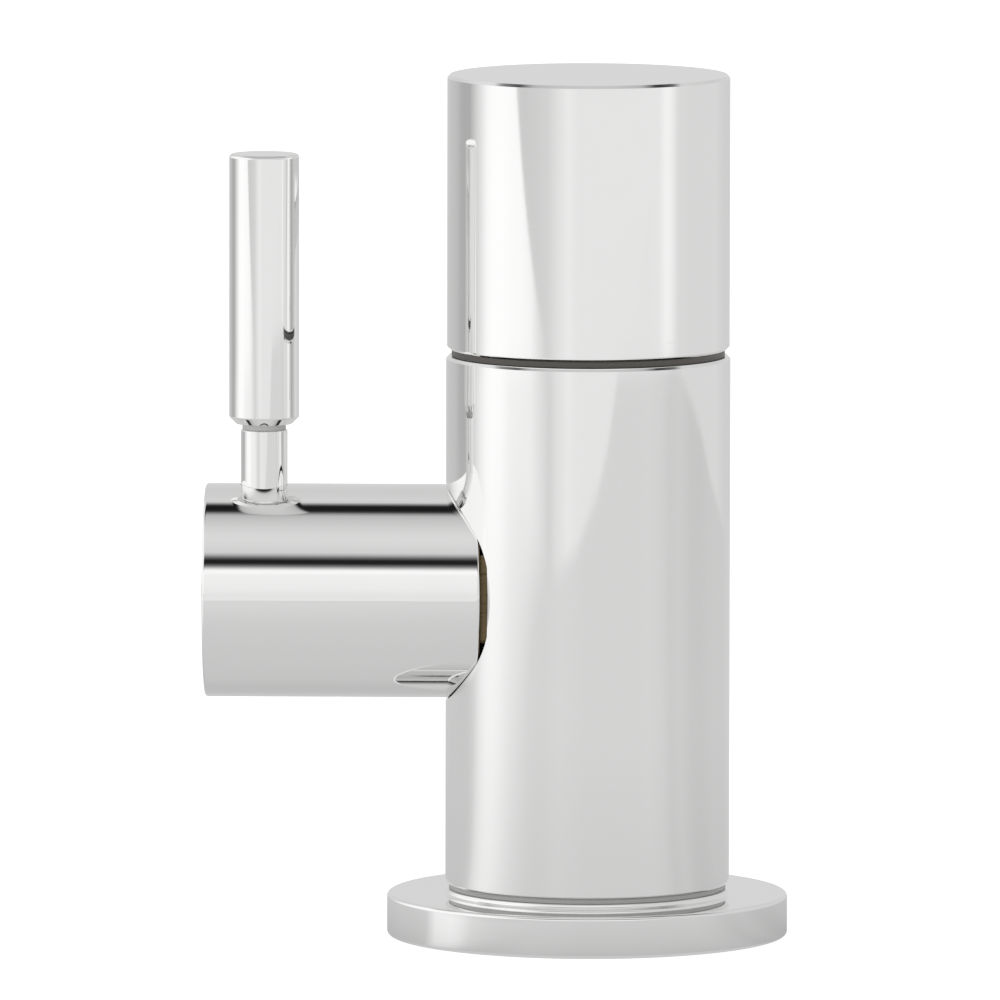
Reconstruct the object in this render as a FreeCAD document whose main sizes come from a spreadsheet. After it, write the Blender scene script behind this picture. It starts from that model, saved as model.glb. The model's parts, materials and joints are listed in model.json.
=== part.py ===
import FreeCAD, Part
import math
import os

import Sketcher
from FreeCAD import Placement, Rotation, Vector

# Deck-mounted hot water faucet with a side lever and a swivelling spout.
# Millimetres, +Z up. The origin is the centre of the base flange's underside.
# The lever's hub lies along -X and the spout leaves the head along +Y.

SIZES = {
    # Base flange and its gasket
    "flange_radius": 25.0,
    "flange_height": 5.25,
    "flange_rounding": 0.5,
    "collar_height": 0.6,
    "collar_cove": 0.4,
    "gasket_inner_radius": 16.0,
    "gasket_land": 2.0,
    "gasket_thickness": 1.5,
    # Valve body
    "body_radius": 17.73,
    "body_top": 72.6,
    "foot_gap": 0.6,
    "foot_chamfer": 0.3,
    "seam_chamfer": 0.4,
    "centring_step": 4.73,
    "centring_depth": 4.4,
    "riser_radius": 3.5,
    "seal_setback": 0.45,
    "seal_land": 1.28,
    # Water inlet and fixing stud in the body's underside
    "inlet_radius": 5.0,
    "inlet_depth": 11.0,
    "inlet_wall": 1.5,
    "passage_radius": 2.25,
    "passage_wall": 1.25,
    "stud_radius": 4.0,
    "stud_wall": 2.0,
    "stud_engagement": 12.0,
    "stud_spare": 9.0,
    "stud_slot_width": 1.33,
    "stud_slot_depth": 2.0,
    # Worktop clamp
    "deck_thickness": 30.0,
    "clamp_radius": 22.0,
    "clamp_rubber_thickness": 3.0,
    "clamp_plate_thickness": 2.0,
    "hose_slot_radius": 7.0,
    "nut_across_flats": 13.0,
    "nut_height": 8.0,
    # Side hub of the lever
    "hub_axis_height": 43.01,
    "hub_radius": 13.32,
    "hub_inner_end": 13.08,
    "hub_outer_end": 47.7,
    "hub_rounding": 0.4,
    "hub_clearance": 0.2,
    "hub_hollow_play": 0.53,
    "hub_floor_gap": 0.6,
    "pocket_floor": 12.25,
    # Lever
    "lever_setback": 7.3,
    "neck_radius": 2.92,
    "neck_length": 7.56,
    "neck_seat_depth": 1.2,
    "grip_radius": 4.37,
    "grip_length": 33.77,
    "grip_foot_chamfer": 1.0,
    "grip_top_chamfer": 0.4,
    "lever_thread_radius": 2.5,
    "lever_thread_length": 7.0,
    "tang_radius": 2.2,
    "tang_length": 16.0,
    "grub_radius": 2.0,
    "grub_length": 6.0,
    "grub_setback": 6.0,
    "grub_key_radius": 1.15,
    "grub_key_depth": 2.0,
    # Quarter-turn headpart, measured from its seat
    "housing_radius": 8.4,
    "housing_depth": 18.75,
    "housing_wall": 1.2,
    "housing_collar": 1.95,
    "collar_across_flats": 19.0,
    "nose_radius": 6.5,
    "nose_length": 9.3,
    "seat_seal_thickness": 1.8,
    "seat_seal_land": 1.2,
    "seat_hole_radius": 2.0,
    "fixed_disc_thickness": 2.8,
    "moving_disc_thickness": 2.5,
    "disc_port_outer": 5.6,
    "disc_port_inner": 1.7,
    "drive_head_thickness": 2.45,
    "thrust_washer_thickness": 0.5,
    "window_radius": 1.7,
    "chamber_setback": 1.0,
    "chamber_radius": 10.0,
    "chamber_width": 5.5,
    "housing_oring_section": 1.6,
    "housing_oring_place": 14.0,
    # Spindle of the headpart
    "spindle_radius": 3.95,
    "spindle_oring_section": 1.0,
    "spindle_oring_first": 13.2,
    "spindle_oring_pitch": 4.0,
    "clip_radius": 5.6,
    "clip_thickness": 0.7,
    "clip_groove_depth": 0.9,
    "spline_depth": 0.4,
    "spline_length": 10.8,
    # Swivel spigot
    "spigot_thread_radius": 8.0,
    "spigot_thread_length": 10.0,
    "spigot_shoulder_radius": 10.6,
    "spigot_shoulder_height": 1.0,
    "spigot_bore_radius": 4.0,
    "barrel_radius": 8.95,
    "spigot_oring_section": 1.9,
    "lower_oring_drop": 7.1,
    "upper_oring_rise": 5.0,
    "spigot_port_radius": 2.2,
    "glide_ring_gap": 1.45,
    "glide_ring_width": 1.6,
    "glide_ring_thickness": 1.0,
    "barrel_lip": 0.8,
    # Swivelling head
    "head_step": 0.11,
    "head_crown": 8.5,
    "head_top_chamfer": 0.5,
    "seam_gap": 0.9,
    "bearing_setback": 0.7,
    "head_chamber_radius": 11.0,
    "head_chamber_height": 6.4,
    "head_bore_spare": 0.8,
    "stop_height": 3.5,
    "stop_screw_radius": 2.0,
    "stop_screw_setback": 2.42,
    "stop_dog_radius": 1.1,
    "stop_groove_depth": 1.6,
    "stop_play": 0.15,
    # Spout
    "spout_rise": 14.9,
    "spout_reach": 125.0,
    "spout_radius": 6.75,
    "spout_wall": 1.0,
    "spout_bend_radius": 22.0,
    "spout_socket_wall": 1.2,
    "spout_feed_radius": 3.0,
    "ring_width": 1.8,
    "ring_length": 3.0,
    "spout_drop": 38.4,
    "nozzle_wall": 1.55,
    "nozzle_length": 14.0,
    "nozzle_socket_depth": 8.0,
    "nozzle_chamfer": 0.6,
    "aerator_radius": 7.0,
    "aerator_setback": 0.5,
    "aerator_seal_thickness": 0.8,
    "aerator_floor": 1.2,
    "aerator_hole_radius": 0.55,
    "aerator_outer_circle": 5.04,
    "aerator_inner_circle": 2.8,
    # Fits
    "running_clearance": 0.05,
    "joint_clearance": 0.05,
    "loose_clearance": 0.2,
    "drill_spare": 1.0,
}

SWIVEL_RIGHT = 180.0
SWIVEL_LEFT = 60.0
STOP_SCREW_DIRECTION = 50.0
STOP_GROOVE_MARGIN = 11.0
DISC_PORT_ANGLE = 80.0
SPLINE_TEETH = 20
SPLINE_FLANK = 1.1
HALF_TOOTH = 180.0 / SPLINE_TEETH
CLIP_MOUTH_SHARE = 0.8
HEX_CORNER = 1.0 / math.sqrt(3.0)

TO_THE_LEVER = Rotation(Vector(0, 1, 0), -90)
BACKWARD = Rotation(Vector(1, 0, 0), -90)
UPRIGHT = Rotation()

doc = FreeCAD.newDocument("HotWaterFaucet")
sheet = doc.addObject("Spreadsheet::Sheet", "Sizes")


class Size:
    """A length: its value in millimetres and the expression that gives it."""

    def __init__(self, value, text):
        self.value = value
        self.text = text

    def joined(self, sign, other, value):
        text = other.text if isinstance(other, Size) else repr(float(other))
        return Size(value, "(%s %s %s)" % (self.text, sign, text))

    def __add__(self, other):
        return self.joined("+", other, self.value + number(other))

    def __sub__(self, other):
        return self.joined("-", other, self.value - number(other))

    def __mul__(self, other):
        return self.joined("*", other, self.value * number(other))

    def __truediv__(self, other):
        return self.joined("/", other, self.value / number(other))

    def __neg__(self):
        return Size(-self.value, "(-%s)" % self.text)


def number(size):
    """The value of a Size or of a plain number."""
    return size.value if isinstance(size, Size) else float(size)


class Sheet:
    """The named sizes, each bound to its cell of the spreadsheet."""

    def __init__(self, sizes):
        for row, (name, value) in enumerate(sizes.items(), start=1):
            sheet.set("A%d" % row, name)
            sheet.set("B%d" % row, str(value))
            sheet.setAlias("B%d" % row, name)
            setattr(self, name, Size(value, "Sizes." + name))


d = Sheet(SIZES)
doc.recompute()

AERATOR_HOLES = ((12, d.aerator_outer_circle), (6, d.aerator_inner_circle))

# Heights and places that several pieces share
centring_radius = d.body_radius - d.centring_step
inlet_offset = centring_radius - d.inlet_radius - d.inlet_wall
stud_offset = centring_radius - d.stud_radius - d.stud_wall
collar_top = d.flange_height + d.collar_height
body_foot = collar_top + d.foot_gap
body_bottom = body_foot - d.centring_depth
hub_top = d.hub_axis_height + d.hub_radius
grip_foot = hub_top + d.neck_length
lever_offset = d.hub_outer_end - d.lever_setback
seat_place = d.pocket_floor - d.housing_depth
passage_offset = -seat_place + d.passage_wall + d.passage_radius
pocket_radius = d.hub_radius + d.hub_clearance
housing_bore = d.housing_radius + d.joint_clearance
spindle_bore = d.spindle_radius + d.running_clearance
housing_hollow = d.housing_radius - d.housing_wall
disc_radius = housing_hollow - d.loose_clearance
fixed_disc_end = d.seat_seal_thickness + d.fixed_disc_thickness
moving_disc_start = fixed_disc_end + d.running_clearance
moving_disc_end = moving_disc_start + d.moving_disc_thickness
drive_head_end = moving_disc_end + d.drive_head_thickness
thrust_washer_start = drive_head_end + d.running_clearance
housing_shoulder = thrust_washer_start + d.thrust_washer_thickness
chamber_start = moving_disc_start + d.chamber_setback
nose_end = d.housing_depth + d.housing_collar + d.nose_length
clip_start = nose_end + d.loose_clearance
clip_end = clip_start + d.clip_thickness
hub_floor = clip_end + d.hub_floor_gap
spline_start = hub_floor - d.loose_clearance
spline_end = spline_start + d.spline_length
spline_root = d.spindle_radius - d.spline_depth
grub_place = seat_place + hub_floor + d.grub_setback

# The swivel, in heights above the head's lower face
head_bottom = d.body_top + d.seam_gap
head_radius = d.body_radius - d.head_step
head_bore = d.barrel_radius + d.running_clearance
oring_half = d.spigot_oring_section / 2 + d.loose_clearance
lower_oring = d.spout_rise - d.lower_oring_drop
upper_oring = d.spout_rise + d.upper_oring_rise
glide_ring_low = upper_oring + oring_half + d.glide_ring_gap
glide_ring_high = glide_ring_low + d.glide_ring_width
barrel_top = glide_ring_high + d.barrel_lip
head_bore_top = barrel_top + d.head_bore_spare
head_height = head_bore_top + d.head_crown
stop_groove_floor = d.barrel_radius - d.stop_groove_depth

# The spout, in heights above the deck
spout_axis = head_bottom + d.spout_rise
spout_socket = d.head_chamber_radius + d.spout_socket_wall
outlet_height = spout_axis - d.spout_drop
nozzle_socket_floor = d.nozzle_length - d.nozzle_socket_depth
aerator_top = nozzle_socket_floor - d.aerator_floor - d.aerator_seal_thickness


def bind(thing, name, size):
    """Give a property a plain number or tie it to the sheet."""
    if isinstance(size, Size):
        thing.setExpression(name, size.text)
    else:
        setattr(thing, name, size)


def placed(thing, x, y, z, rotation=UPRIGHT):
    """Turn a piece and tie its place to the sheet."""
    values = Vector(number(x), number(y), number(z))
    thing.Placement = Placement(values, rotation)
    for axis, size in (("x", x), ("y", y), ("z", z)):
        if isinstance(size, Size):
            thing.setExpression("Placement.Base." + axis, size.text)
    return thing


def body(label):
    """An empty PartDesign body."""
    made = doc.addObject("PartDesign::Body", "Body")
    made.Label = label
    return made


def origin_part(made, role):
    """A body's own origin plane or axis, found by its role."""
    return [part for part in made.Origin.OriginFeatures if part.Role == role][0]


def empty_sketch(made, name, plane):
    sketch = made.newObject("Sketcher::SketchObject", name)
    sketch.AttachmentSupport = [(origin_part(made, plane), "")]
    sketch.MapMode = "FlatFace"
    return sketch


def fix_coordinate(sketch, kind, geometry, end, size):
    """Hold one coordinate of a sketch point at its signed distance from the origin."""
    axis = -2 if kind == "DistanceX" else -1
    value = number(size)
    if not isinstance(size, Size) and value == 0:
        sketch.addConstraint(Sketcher.Constraint("PointOnObject", geometry, end, axis))
        return
    if value < 0:
        limb = (kind, geometry, end, -1, 1, -value)
        size = -size
    else:
        limb = (kind, -1, 1, geometry, end, value)
    index = sketch.addConstraint(Sketcher.Constraint(*limb))
    if isinstance(size, Size):
        sketch.setExpression("Constraints[%d]" % index, size.text)


def outline(made, name, plane, points):
    """A closed sketch of straight lines through points whose coordinates are sizes."""
    sketch = empty_sketch(made, name, plane)
    corners = [Vector(number(x), number(y), 0) for x, y in points]
    count = len(corners)
    for i in range(count):
        sketch.addGeometry(Part.LineSegment(corners[i], corners[(i + 1) % count]), False)
    for i in range(count):
        sketch.addConstraint(Sketcher.Constraint("Coincident", i, 2, (i + 1) % count, 1))
    for i, (x, y) in enumerate(points):
        fix_coordinate(sketch, "DistanceX", i, 1, x)
        fix_coordinate(sketch, "DistanceY", i, 1, y)
    return sketch


def ring(made, name, plane, circles):
    """A sketch of circles, each a radius and a centre."""
    sketch = empty_sketch(made, name, plane)
    for i, (radius, x, y) in enumerate(circles):
        centre = Vector(number(x), number(y), 0)
        sketch.addGeometry(Part.Circle(centre, Vector(0, 0, 1), number(radius)), False)
        index = sketch.addConstraint(Sketcher.Constraint("Radius", i, number(radius)))
        sketch.setExpression("Constraints[%d]" % index, radius.text)
        fix_coordinate(sketch, "DistanceX", i, 3, x)
        fix_coordinate(sketch, "DistanceY", i, 3, y)
    return sketch


def turned(label, points):
    """A body turned about its own Z axis from half an outline of (radius, height) points."""
    made = body(label)
    sketch = outline(made, "HalfOutline", "XZ_Plane", points)
    turn = made.newObject("PartDesign::Revolution", "Turn")
    turn.Profile = sketch
    turn.ReferenceAxis = (sketch, ["V_Axis"])
    turn.Angle = 360.0
    sketch.Visibility = False
    doc.recompute()
    return made


def rim_names(shape, radius, height):
    """The circular edges about Z with this radius at this height."""
    names = []
    for i, edge in enumerate(shape.Edges, start=1):
        curve = edge.Curve
        if not isinstance(curve, Part.Circle):
            continue
        level = abs(curve.Center.z - number(height)) < 1e-4
        if level and abs(curve.Radius - number(radius)) < 1e-4:
            names.append("Edge%d" % i)
    return names


def round_rims(made, radius, rims):
    """Round edges of a turned body, each given by its radius and height."""
    base = made.Tip
    names = []
    for rim_radius, height in rims:
        names += rim_names(base.Shape, rim_radius, height)
    rounding = made.newObject("PartDesign::Fillet", "Rounding")
    rounding.Base = (base, names)
    bind(rounding, "Radius", radius)
    made.Tip = rounding
    doc.recompute()
    return made


def rod(radius, length, x=0, y=0, z=0, rotation=UPRIGHT, angle=360.0):
    """A plain cylinder, or a sector of one, along its own Z axis."""
    made = doc.addObject("Part::Cylinder", "Rod")
    bind(made, "Radius", radius)
    bind(made, "Height", length)
    made.Angle = angle
    return placed(made, x, y, z, rotation)


def hexagon(across_flats, length, x=0, y=0, z=0, rotation=UPRIGHT):
    """A hexagonal bar along its own Z axis."""
    made = doc.addObject("Part::Prism", "Hexagon")
    made.Polygon = 6
    bind(made, "Circumradius", across_flats * HEX_CORNER)
    bind(made, "Height", length)
    return placed(made, x, y, z, rotation)


def block(length, width, height, x, y, z):
    """A rectangular block, given by its low corner."""
    made = doc.addObject("Part::Box", "Block")
    bind(made, "Length", length)
    bind(made, "Width", width)
    bind(made, "Height", height)
    return placed(made, x, y, z)


def torus(section, outer_radius, x=0, y=0, z=0, rotation=UPRIGHT):
    """An O-ring, given by its section's diameter and its outer radius."""
    made = doc.addObject("Part::Torus", "Torus")
    bind(made, "Radius1", outer_radius - section / 2)
    bind(made, "Radius2", section / 2)
    return placed(made, x, y, z, rotation)


def joined(label, kind, things):
    """Several shapes as one fused or grouped object."""
    made = doc.addObject(kind, "Joined")
    if kind == "Part::Compound":
        made.Links = things
    else:
        made.Shapes = things
    made.Label = label
    return made


def cut(label, blank, tools):
    """A blank with its tools taken away."""
    made = doc.addObject("Part::Cut", "Cut")
    blank.Label = label + "_blank"
    made.Base = blank
    made.Tool = tools[0] if len(tools) == 1 else joined(label + "_tools", "Part::MultiFuse", tools)
    made.Label = label
    return made


def sideways(thing, place, along=0):
    """Put a piece on the hub's axis, its own Z axis pointing away from the column."""
    return placed(thing, -(place + along), 0, d.hub_axis_height, TO_THE_LEVER)


def side_rod(radius, length, place, along=0):
    """A cylinder on the hub's axis that starts at a distance from the column's axis."""
    return sideways(rod(radius, length), place, along)


def gasket():
    outer = d.flange_radius - d.gasket_land
    return turned("deck_gasket", [
        (d.gasket_inner_radius, 0),
        (outer, 0),
        (outer, d.gasket_thickness),
        (d.gasket_inner_radius, d.gasket_thickness),
    ])


def flange():
    """The deck flange: a recess for its gasket below, and a low collar above a small cove."""
    bore = centring_radius + d.loose_clearance
    inner = d.gasket_inner_radius - d.loose_clearance
    outer = d.flange_radius - d.gasket_land + d.loose_clearance
    made = turned("base_flange", [
        (bore, 0),
        (inner, 0),
        (inner, d.gasket_thickness),
        (outer, d.gasket_thickness),
        (outer, 0),
        (d.flange_radius, 0),
        (d.flange_radius, d.flange_height),
        (d.body_radius, d.flange_height),
        (d.body_radius, collar_top),
        (bore, collar_top),
    ])
    round_rims(made, d.flange_rounding, [
        (d.flange_radius, 0),
        (d.flange_radius, d.flange_height),
    ])
    return round_rims(made, d.collar_cove, [(d.body_radius, d.flange_height)])


def foot_seal():
    outer = d.body_radius - d.seal_setback
    inner = centring_radius + d.seal_land
    made = turned("foot_seal", [(inner, 0), (outer, 0), (outer, d.foot_gap), (inner, d.foot_gap)])
    return placed(made, 0, 0, collar_top)


def valve_body():
    """The upright body: centring spigot, spigot thread, riser and the hub's round pocket."""
    thread_bore = d.spigot_thread_radius + d.joint_clearance
    shoulder_bore = d.spigot_shoulder_radius + d.joint_clearance
    shoulder_seat = d.body_top - d.spigot_shoulder_height
    thread_floor = shoulder_seat - d.spigot_thread_length - d.drill_spare
    blank = turned("valve_body", [
        (0, body_bottom),
        (centring_radius, body_bottom),
        (centring_radius, body_foot),
        (d.body_radius - d.foot_chamfer, body_foot),
        (d.body_radius, body_foot + d.foot_chamfer),
        (d.body_radius, d.body_top - d.seam_chamfer),
        (d.body_radius - d.seam_chamfer, d.body_top),
        (shoulder_bore, d.body_top),
        (shoulder_bore, shoulder_seat),
        (thread_bore, shoulder_seat),
        (thread_bore, thread_floor),
        (d.riser_radius, thread_floor),
        (d.riser_radius, d.hub_axis_height),
        (0, d.hub_axis_height),
    ])
    pocket = side_rod(pocket_radius, d.body_radius, d.pocket_floor)
    headpart_bore = side_rod(housing_bore, d.housing_depth + d.drill_spare, seat_place)
    chamber = side_rod(d.chamber_radius, d.chamber_width, seat_place, chamber_start)
    feed = side_rod(d.seat_hole_radius, passage_offset + seat_place + d.drill_spare,
                    -passage_offset)
    passage = rod(d.passage_radius, d.hub_axis_height - body_bottom - d.inlet_depth
                  + d.seat_hole_radius + d.drill_spare,
                  passage_offset, 0, body_bottom + d.inlet_depth - d.drill_spare)
    inlet = rod(d.inlet_radius, d.inlet_depth + d.drill_spare,
                inlet_offset, 0, body_bottom - d.drill_spare)
    stud_hole = rod(d.stud_radius + d.joint_clearance, d.stud_engagement + d.drill_spare * 2,
                    -stud_offset, 0, body_bottom - d.drill_spare)
    return cut("valve_body", blank,
               [pocket, headpart_bore, chamber, feed, passage, inlet, stud_hole])


def oring_groove(points, height, radius, root, half_width):
    """Add a square groove to a half outline that runs upward."""
    points += [
        (radius, height - half_width),
        (root, height - half_width),
        (root, height + half_width),
        (radius, height + half_width),
    ]


def swivel_spigot():
    """The spigot that the head turns on."""
    water_top = d.spout_rise + d.head_chamber_height / 2
    oring_root = d.barrel_radius - d.spigot_oring_section
    glide_root = d.barrel_radius - d.glide_ring_thickness
    bottom = -(d.seam_gap + d.spigot_shoulder_height + d.spigot_thread_length)
    points = [
        (d.spigot_bore_radius, bottom),
        (d.spigot_thread_radius, bottom),
        (d.spigot_thread_radius, -(d.seam_gap + d.spigot_shoulder_height)),
        (d.spigot_shoulder_radius, -(d.seam_gap + d.spigot_shoulder_height)),
        (d.spigot_shoulder_radius, -d.seam_gap),
        (d.barrel_radius, -d.seam_gap),
    ]
    for height in (lower_oring, upper_oring):
        oring_groove(points, height, d.barrel_radius, oring_root, oring_half)
    points += [
        (d.barrel_radius, glide_ring_low),
        (glide_root, glide_ring_low),
        (glide_root, glide_ring_high),
        (d.barrel_radius, glide_ring_high),
        (d.barrel_radius, barrel_top),
        (0, barrel_top),
        (0, water_top),
        (d.spigot_bore_radius, water_top),
    ]
    blank = placed(turned("swivel_spigot", points), 0, 0, head_bottom)
    reach = d.barrel_radius + d.drill_spare
    across = rod(d.spigot_port_radius, reach * 2, reach, 0, spout_axis, TO_THE_LEVER)
    along = rod(d.spigot_port_radius, reach * 2, 0, -reach, spout_axis, BACKWARD)
    return cut("swivel_spigot", blank, [across, along, stop_groove()])


def stop_groove():
    """The part-circle groove that the stop screw's dog travels in."""
    first = STOP_SCREW_DIRECTION - SWIVEL_RIGHT - STOP_GROOVE_MARGIN
    sweep = SWIVEL_RIGHT + SWIVEL_LEFT + 2 * STOP_GROOVE_MARGIN
    half_height = d.stop_dog_radius + d.stop_play
    low = head_bottom + d.stop_height - half_height
    sector = rod(d.barrel_radius + d.drill_spare, half_height * 2, 0, 0, low,
                 Rotation(Vector(0, 0, 1), first), sweep)
    core = rod(stop_groove_floor, half_height * 2, 0, 0, low)
    return cut("stop_groove", sector, [core])


def spigot_orings():
    """Both O-rings of the swivel."""
    rings = [torus(d.spigot_oring_section, d.barrel_radius, 0, 0, head_bottom + height)
             for height in (lower_oring, upper_oring)]
    return joined("spigot_orings", "Part::Compound", rings)


def glide_ring():
    """The split ring at the top of the spigot."""
    low = head_bottom + glide_ring_low
    ring_body = rod(d.barrel_radius, d.glide_ring_width, 0, 0, low)
    hole = rod(d.barrel_radius - d.glide_ring_thickness, d.glide_ring_width, 0, 0, low)
    split = block(d.barrel_radius, d.glide_ring_thickness, d.glide_ring_width,
                  0, -d.glide_ring_thickness / 2, low)
    return cut("upper_bearing_ring", ring_body, [hole, split])


def seam_ring():
    """The dark bearing ring that shows in the seam."""
    outer = d.body_radius - d.bearing_setback
    inner = d.barrel_radius + d.loose_clearance
    top = d.seam_gap - d.running_clearance
    made = turned("lower_bearing_ring", [(inner, 0), (outer, 0), (outer, top), (inner, top)])
    return placed(made, 0, 0, d.body_top)


def swivel_head():
    """The head: its blind bore, water chamber, spout socket and stop screw thread."""
    low = d.spout_rise - d.head_chamber_height / 2
    high = d.spout_rise + d.head_chamber_height / 2
    blank = turned("swivel_head", [
        (head_bore, 0),
        (head_radius - d.seam_chamfer, 0),
        (head_radius, d.seam_chamfer),
        (head_radius, head_height - d.head_top_chamfer),
        (head_radius - d.head_top_chamfer, head_height),
        (0, head_height),
        (0, head_bore_top),
        (head_bore, head_bore_top),
        (head_bore, high),
        (d.head_chamber_radius, high),
        (d.head_chamber_radius, low),
        (head_bore, low),
    ])
    placed(blank, 0, 0, head_bottom)
    socket = rod(d.spout_radius + d.joint_clearance, head_radius,
                 0, spout_socket, spout_axis, BACKWARD)
    feed = rod(d.spout_feed_radius, spout_socket, 0, 0, spout_axis, BACKWARD)
    thread = stop_screw_rod(d.stop_screw_radius + d.joint_clearance, head_radius,
                            d.barrel_radius - d.drill_spare)
    return cut("swivel_head", blank, [socket, feed, thread])


def stop_screw_rod(radius, length, start):
    """A cylinder that points outward along the stop screw's axis."""
    angle = math.radians(STOP_SCREW_DIRECTION)
    outward = Rotation(Vector(0, 0, 1), Vector(math.cos(angle), math.sin(angle), 0))
    return rod(radius, length, start * math.cos(angle), start * math.sin(angle),
               head_bottom + d.stop_height, outward)


def stop_screw():
    """The grub screw with a dog point that holds the head and ends its travel."""
    shank_start = head_bore + d.loose_clearance
    shank_end = head_radius - d.stop_screw_setback
    shank = stop_screw_rod(d.stop_screw_radius, shank_end - shank_start, shank_start)
    dog_start = stop_groove_floor + d.loose_clearance
    dog = stop_screw_rod(d.stop_dog_radius, shank_start - dog_start + d.drill_spare, dog_start)
    key = stop_screw_rod(d.grub_key_radius, d.grub_key_depth + d.drill_spare,
                         shank_end - d.grub_key_depth)
    screw = joined("swivel_stop_screw_blank", "Part::MultiFuse", [shank, dog])
    return cut("swivel_stop_screw", screw, [key])


def spout_path(made, straight, drop):
    """The spout's centre line: a straight run, a quarter bend and a short drop."""
    sketch = empty_sketch(made, "Path", "YZ_Plane")
    run, bend, fall = number(straight), number(d.spout_bend_radius), number(drop)
    centre = Vector(run, -bend, 0)
    sketch.addGeometry(Part.LineSegment(Vector(0, 0, 0), Vector(run, 0, 0)), False)
    circle = Part.Circle(centre, Vector(0, 0, 1), bend)
    sketch.addGeometry(Part.ArcOfCircle(circle, 0, math.pi / 2), False)
    sketch.addGeometry(Part.LineSegment(Vector(run + bend, -bend, 0),
                                        Vector(run + bend, -bend - fall, 0)), False)
    sketch.addConstraint(Sketcher.Constraint("Coincident", 0, 1, -1, 1))
    sketch.addConstraint(Sketcher.Constraint("Horizontal", 0))
    sketch.addConstraint(Sketcher.Constraint("Coincident", 0, 2, 1, 2))
    sketch.addConstraint(Sketcher.Constraint("Coincident", 1, 1, 2, 1))
    sketch.addConstraint(Sketcher.Constraint("Vertical", 2))
    fix_coordinate(sketch, "DistanceX", 1, 3, straight)
    fix_coordinate(sketch, "DistanceY", 1, 3, -d.spout_bend_radius)
    fix_coordinate(sketch, "DistanceX", 1, 2, straight)
    fix_coordinate(sketch, "DistanceY", 1, 1, -d.spout_bend_radius)
    fix_coordinate(sketch, "DistanceY", 2, 2, -(d.spout_bend_radius + drop))
    return sketch


def spout_tube():
    """The bent tube, swept along its centre line."""
    made = body("spout_tube")
    straight = d.spout_reach - d.spout_bend_radius - spout_socket
    drop = d.spout_drop - d.spout_bend_radius - nozzle_socket_floor
    path = spout_path(made, straight, drop)
    section = ring(made, "Section", "XZ_Plane", [
        (d.spout_radius, 0, 0),
        (d.spout_radius - d.spout_wall, 0, 0),
    ])
    pipe = made.newObject("PartDesign::AdditivePipe", "Sweep")
    pipe.Profile = section
    pipe.Spine = path
    made.Tip = pipe
    return placed(made, 0, spout_socket, spout_axis)


def spout_collar():
    """The ring round the tube, fitted to the head's curved wall."""
    inner = d.spout_radius + d.joint_clearance
    outer = inner + d.ring_width
    length = head_radius - spout_socket + d.ring_length
    blank = rod(outer, length, 0, spout_socket, spout_axis, BACKWARD)
    hole = rod(inner, length, 0, spout_socket, spout_axis, BACKWARD)
    wall = rod(head_radius + d.joint_clearance, head_height, 0, 0, head_bottom)
    return cut("spout_collar", blank, [hole, wall])


def nozzle():
    """The outlet sleeve: the tube's socket above and the aerator's recess below."""
    socket = d.spout_radius + d.joint_clearance
    water = d.spout_radius - d.spout_wall
    aerator = d.aerator_radius + d.joint_clearance
    outer = d.spout_radius + d.nozzle_wall
    recess_top = nozzle_socket_floor - d.aerator_floor
    made = turned("nozzle", [
        (aerator, 0),
        (outer - d.nozzle_chamfer, 0),
        (outer, d.nozzle_chamfer),
        (outer, d.nozzle_length - d.nozzle_chamfer),
        (outer - d.nozzle_chamfer, d.nozzle_length),
        (socket, d.nozzle_length),
        (socket, nozzle_socket_floor),
        (water, nozzle_socket_floor),
        (water, recess_top),
        (aerator, recess_top),
    ])
    return placed(made, 0, d.spout_reach, outlet_height)


def aerator_insert():
    """The aerator, with two circles of round holes."""
    made = turned("aerator_insert", [
        (0, d.aerator_setback),
        (d.aerator_radius, d.aerator_setback),
        (d.aerator_radius, aerator_top),
        (0, aerator_top),
    ])
    for count, circle in AERATOR_HOLES:
        sketch = ring(made, "Hole", "XY_Plane", [(d.aerator_hole_radius, circle, 0)])
        hole = made.newObject("PartDesign::Pocket", "Drill")
        hole.Profile = sketch
        bind(hole, "Length", d.nozzle_length)
        hole.Reversed = True
        made.Tip = hole
        doc.recompute()
        pattern = made.newObject("PartDesign::PolarPattern", "HoleCircle")
        pattern.Originals = [hole]
        pattern.Axis = (origin_part(made, "Z_Axis"), [""])
        pattern.Angle = 360.0
        pattern.Occurrences = count
        made.Tip = pattern
        doc.recompute()
    return placed(made, 0, d.spout_reach, outlet_height)


def aerator_seal():
    inner = d.spout_radius - d.spout_wall
    made = turned("aerator_seal", [
        (inner, 0),
        (d.aerator_radius, 0),
        (d.aerator_radius, d.aerator_seal_thickness),
        (inner, d.aerator_seal_thickness),
    ])
    return placed(made, 0, d.spout_reach, outlet_height + aerator_top)


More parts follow.
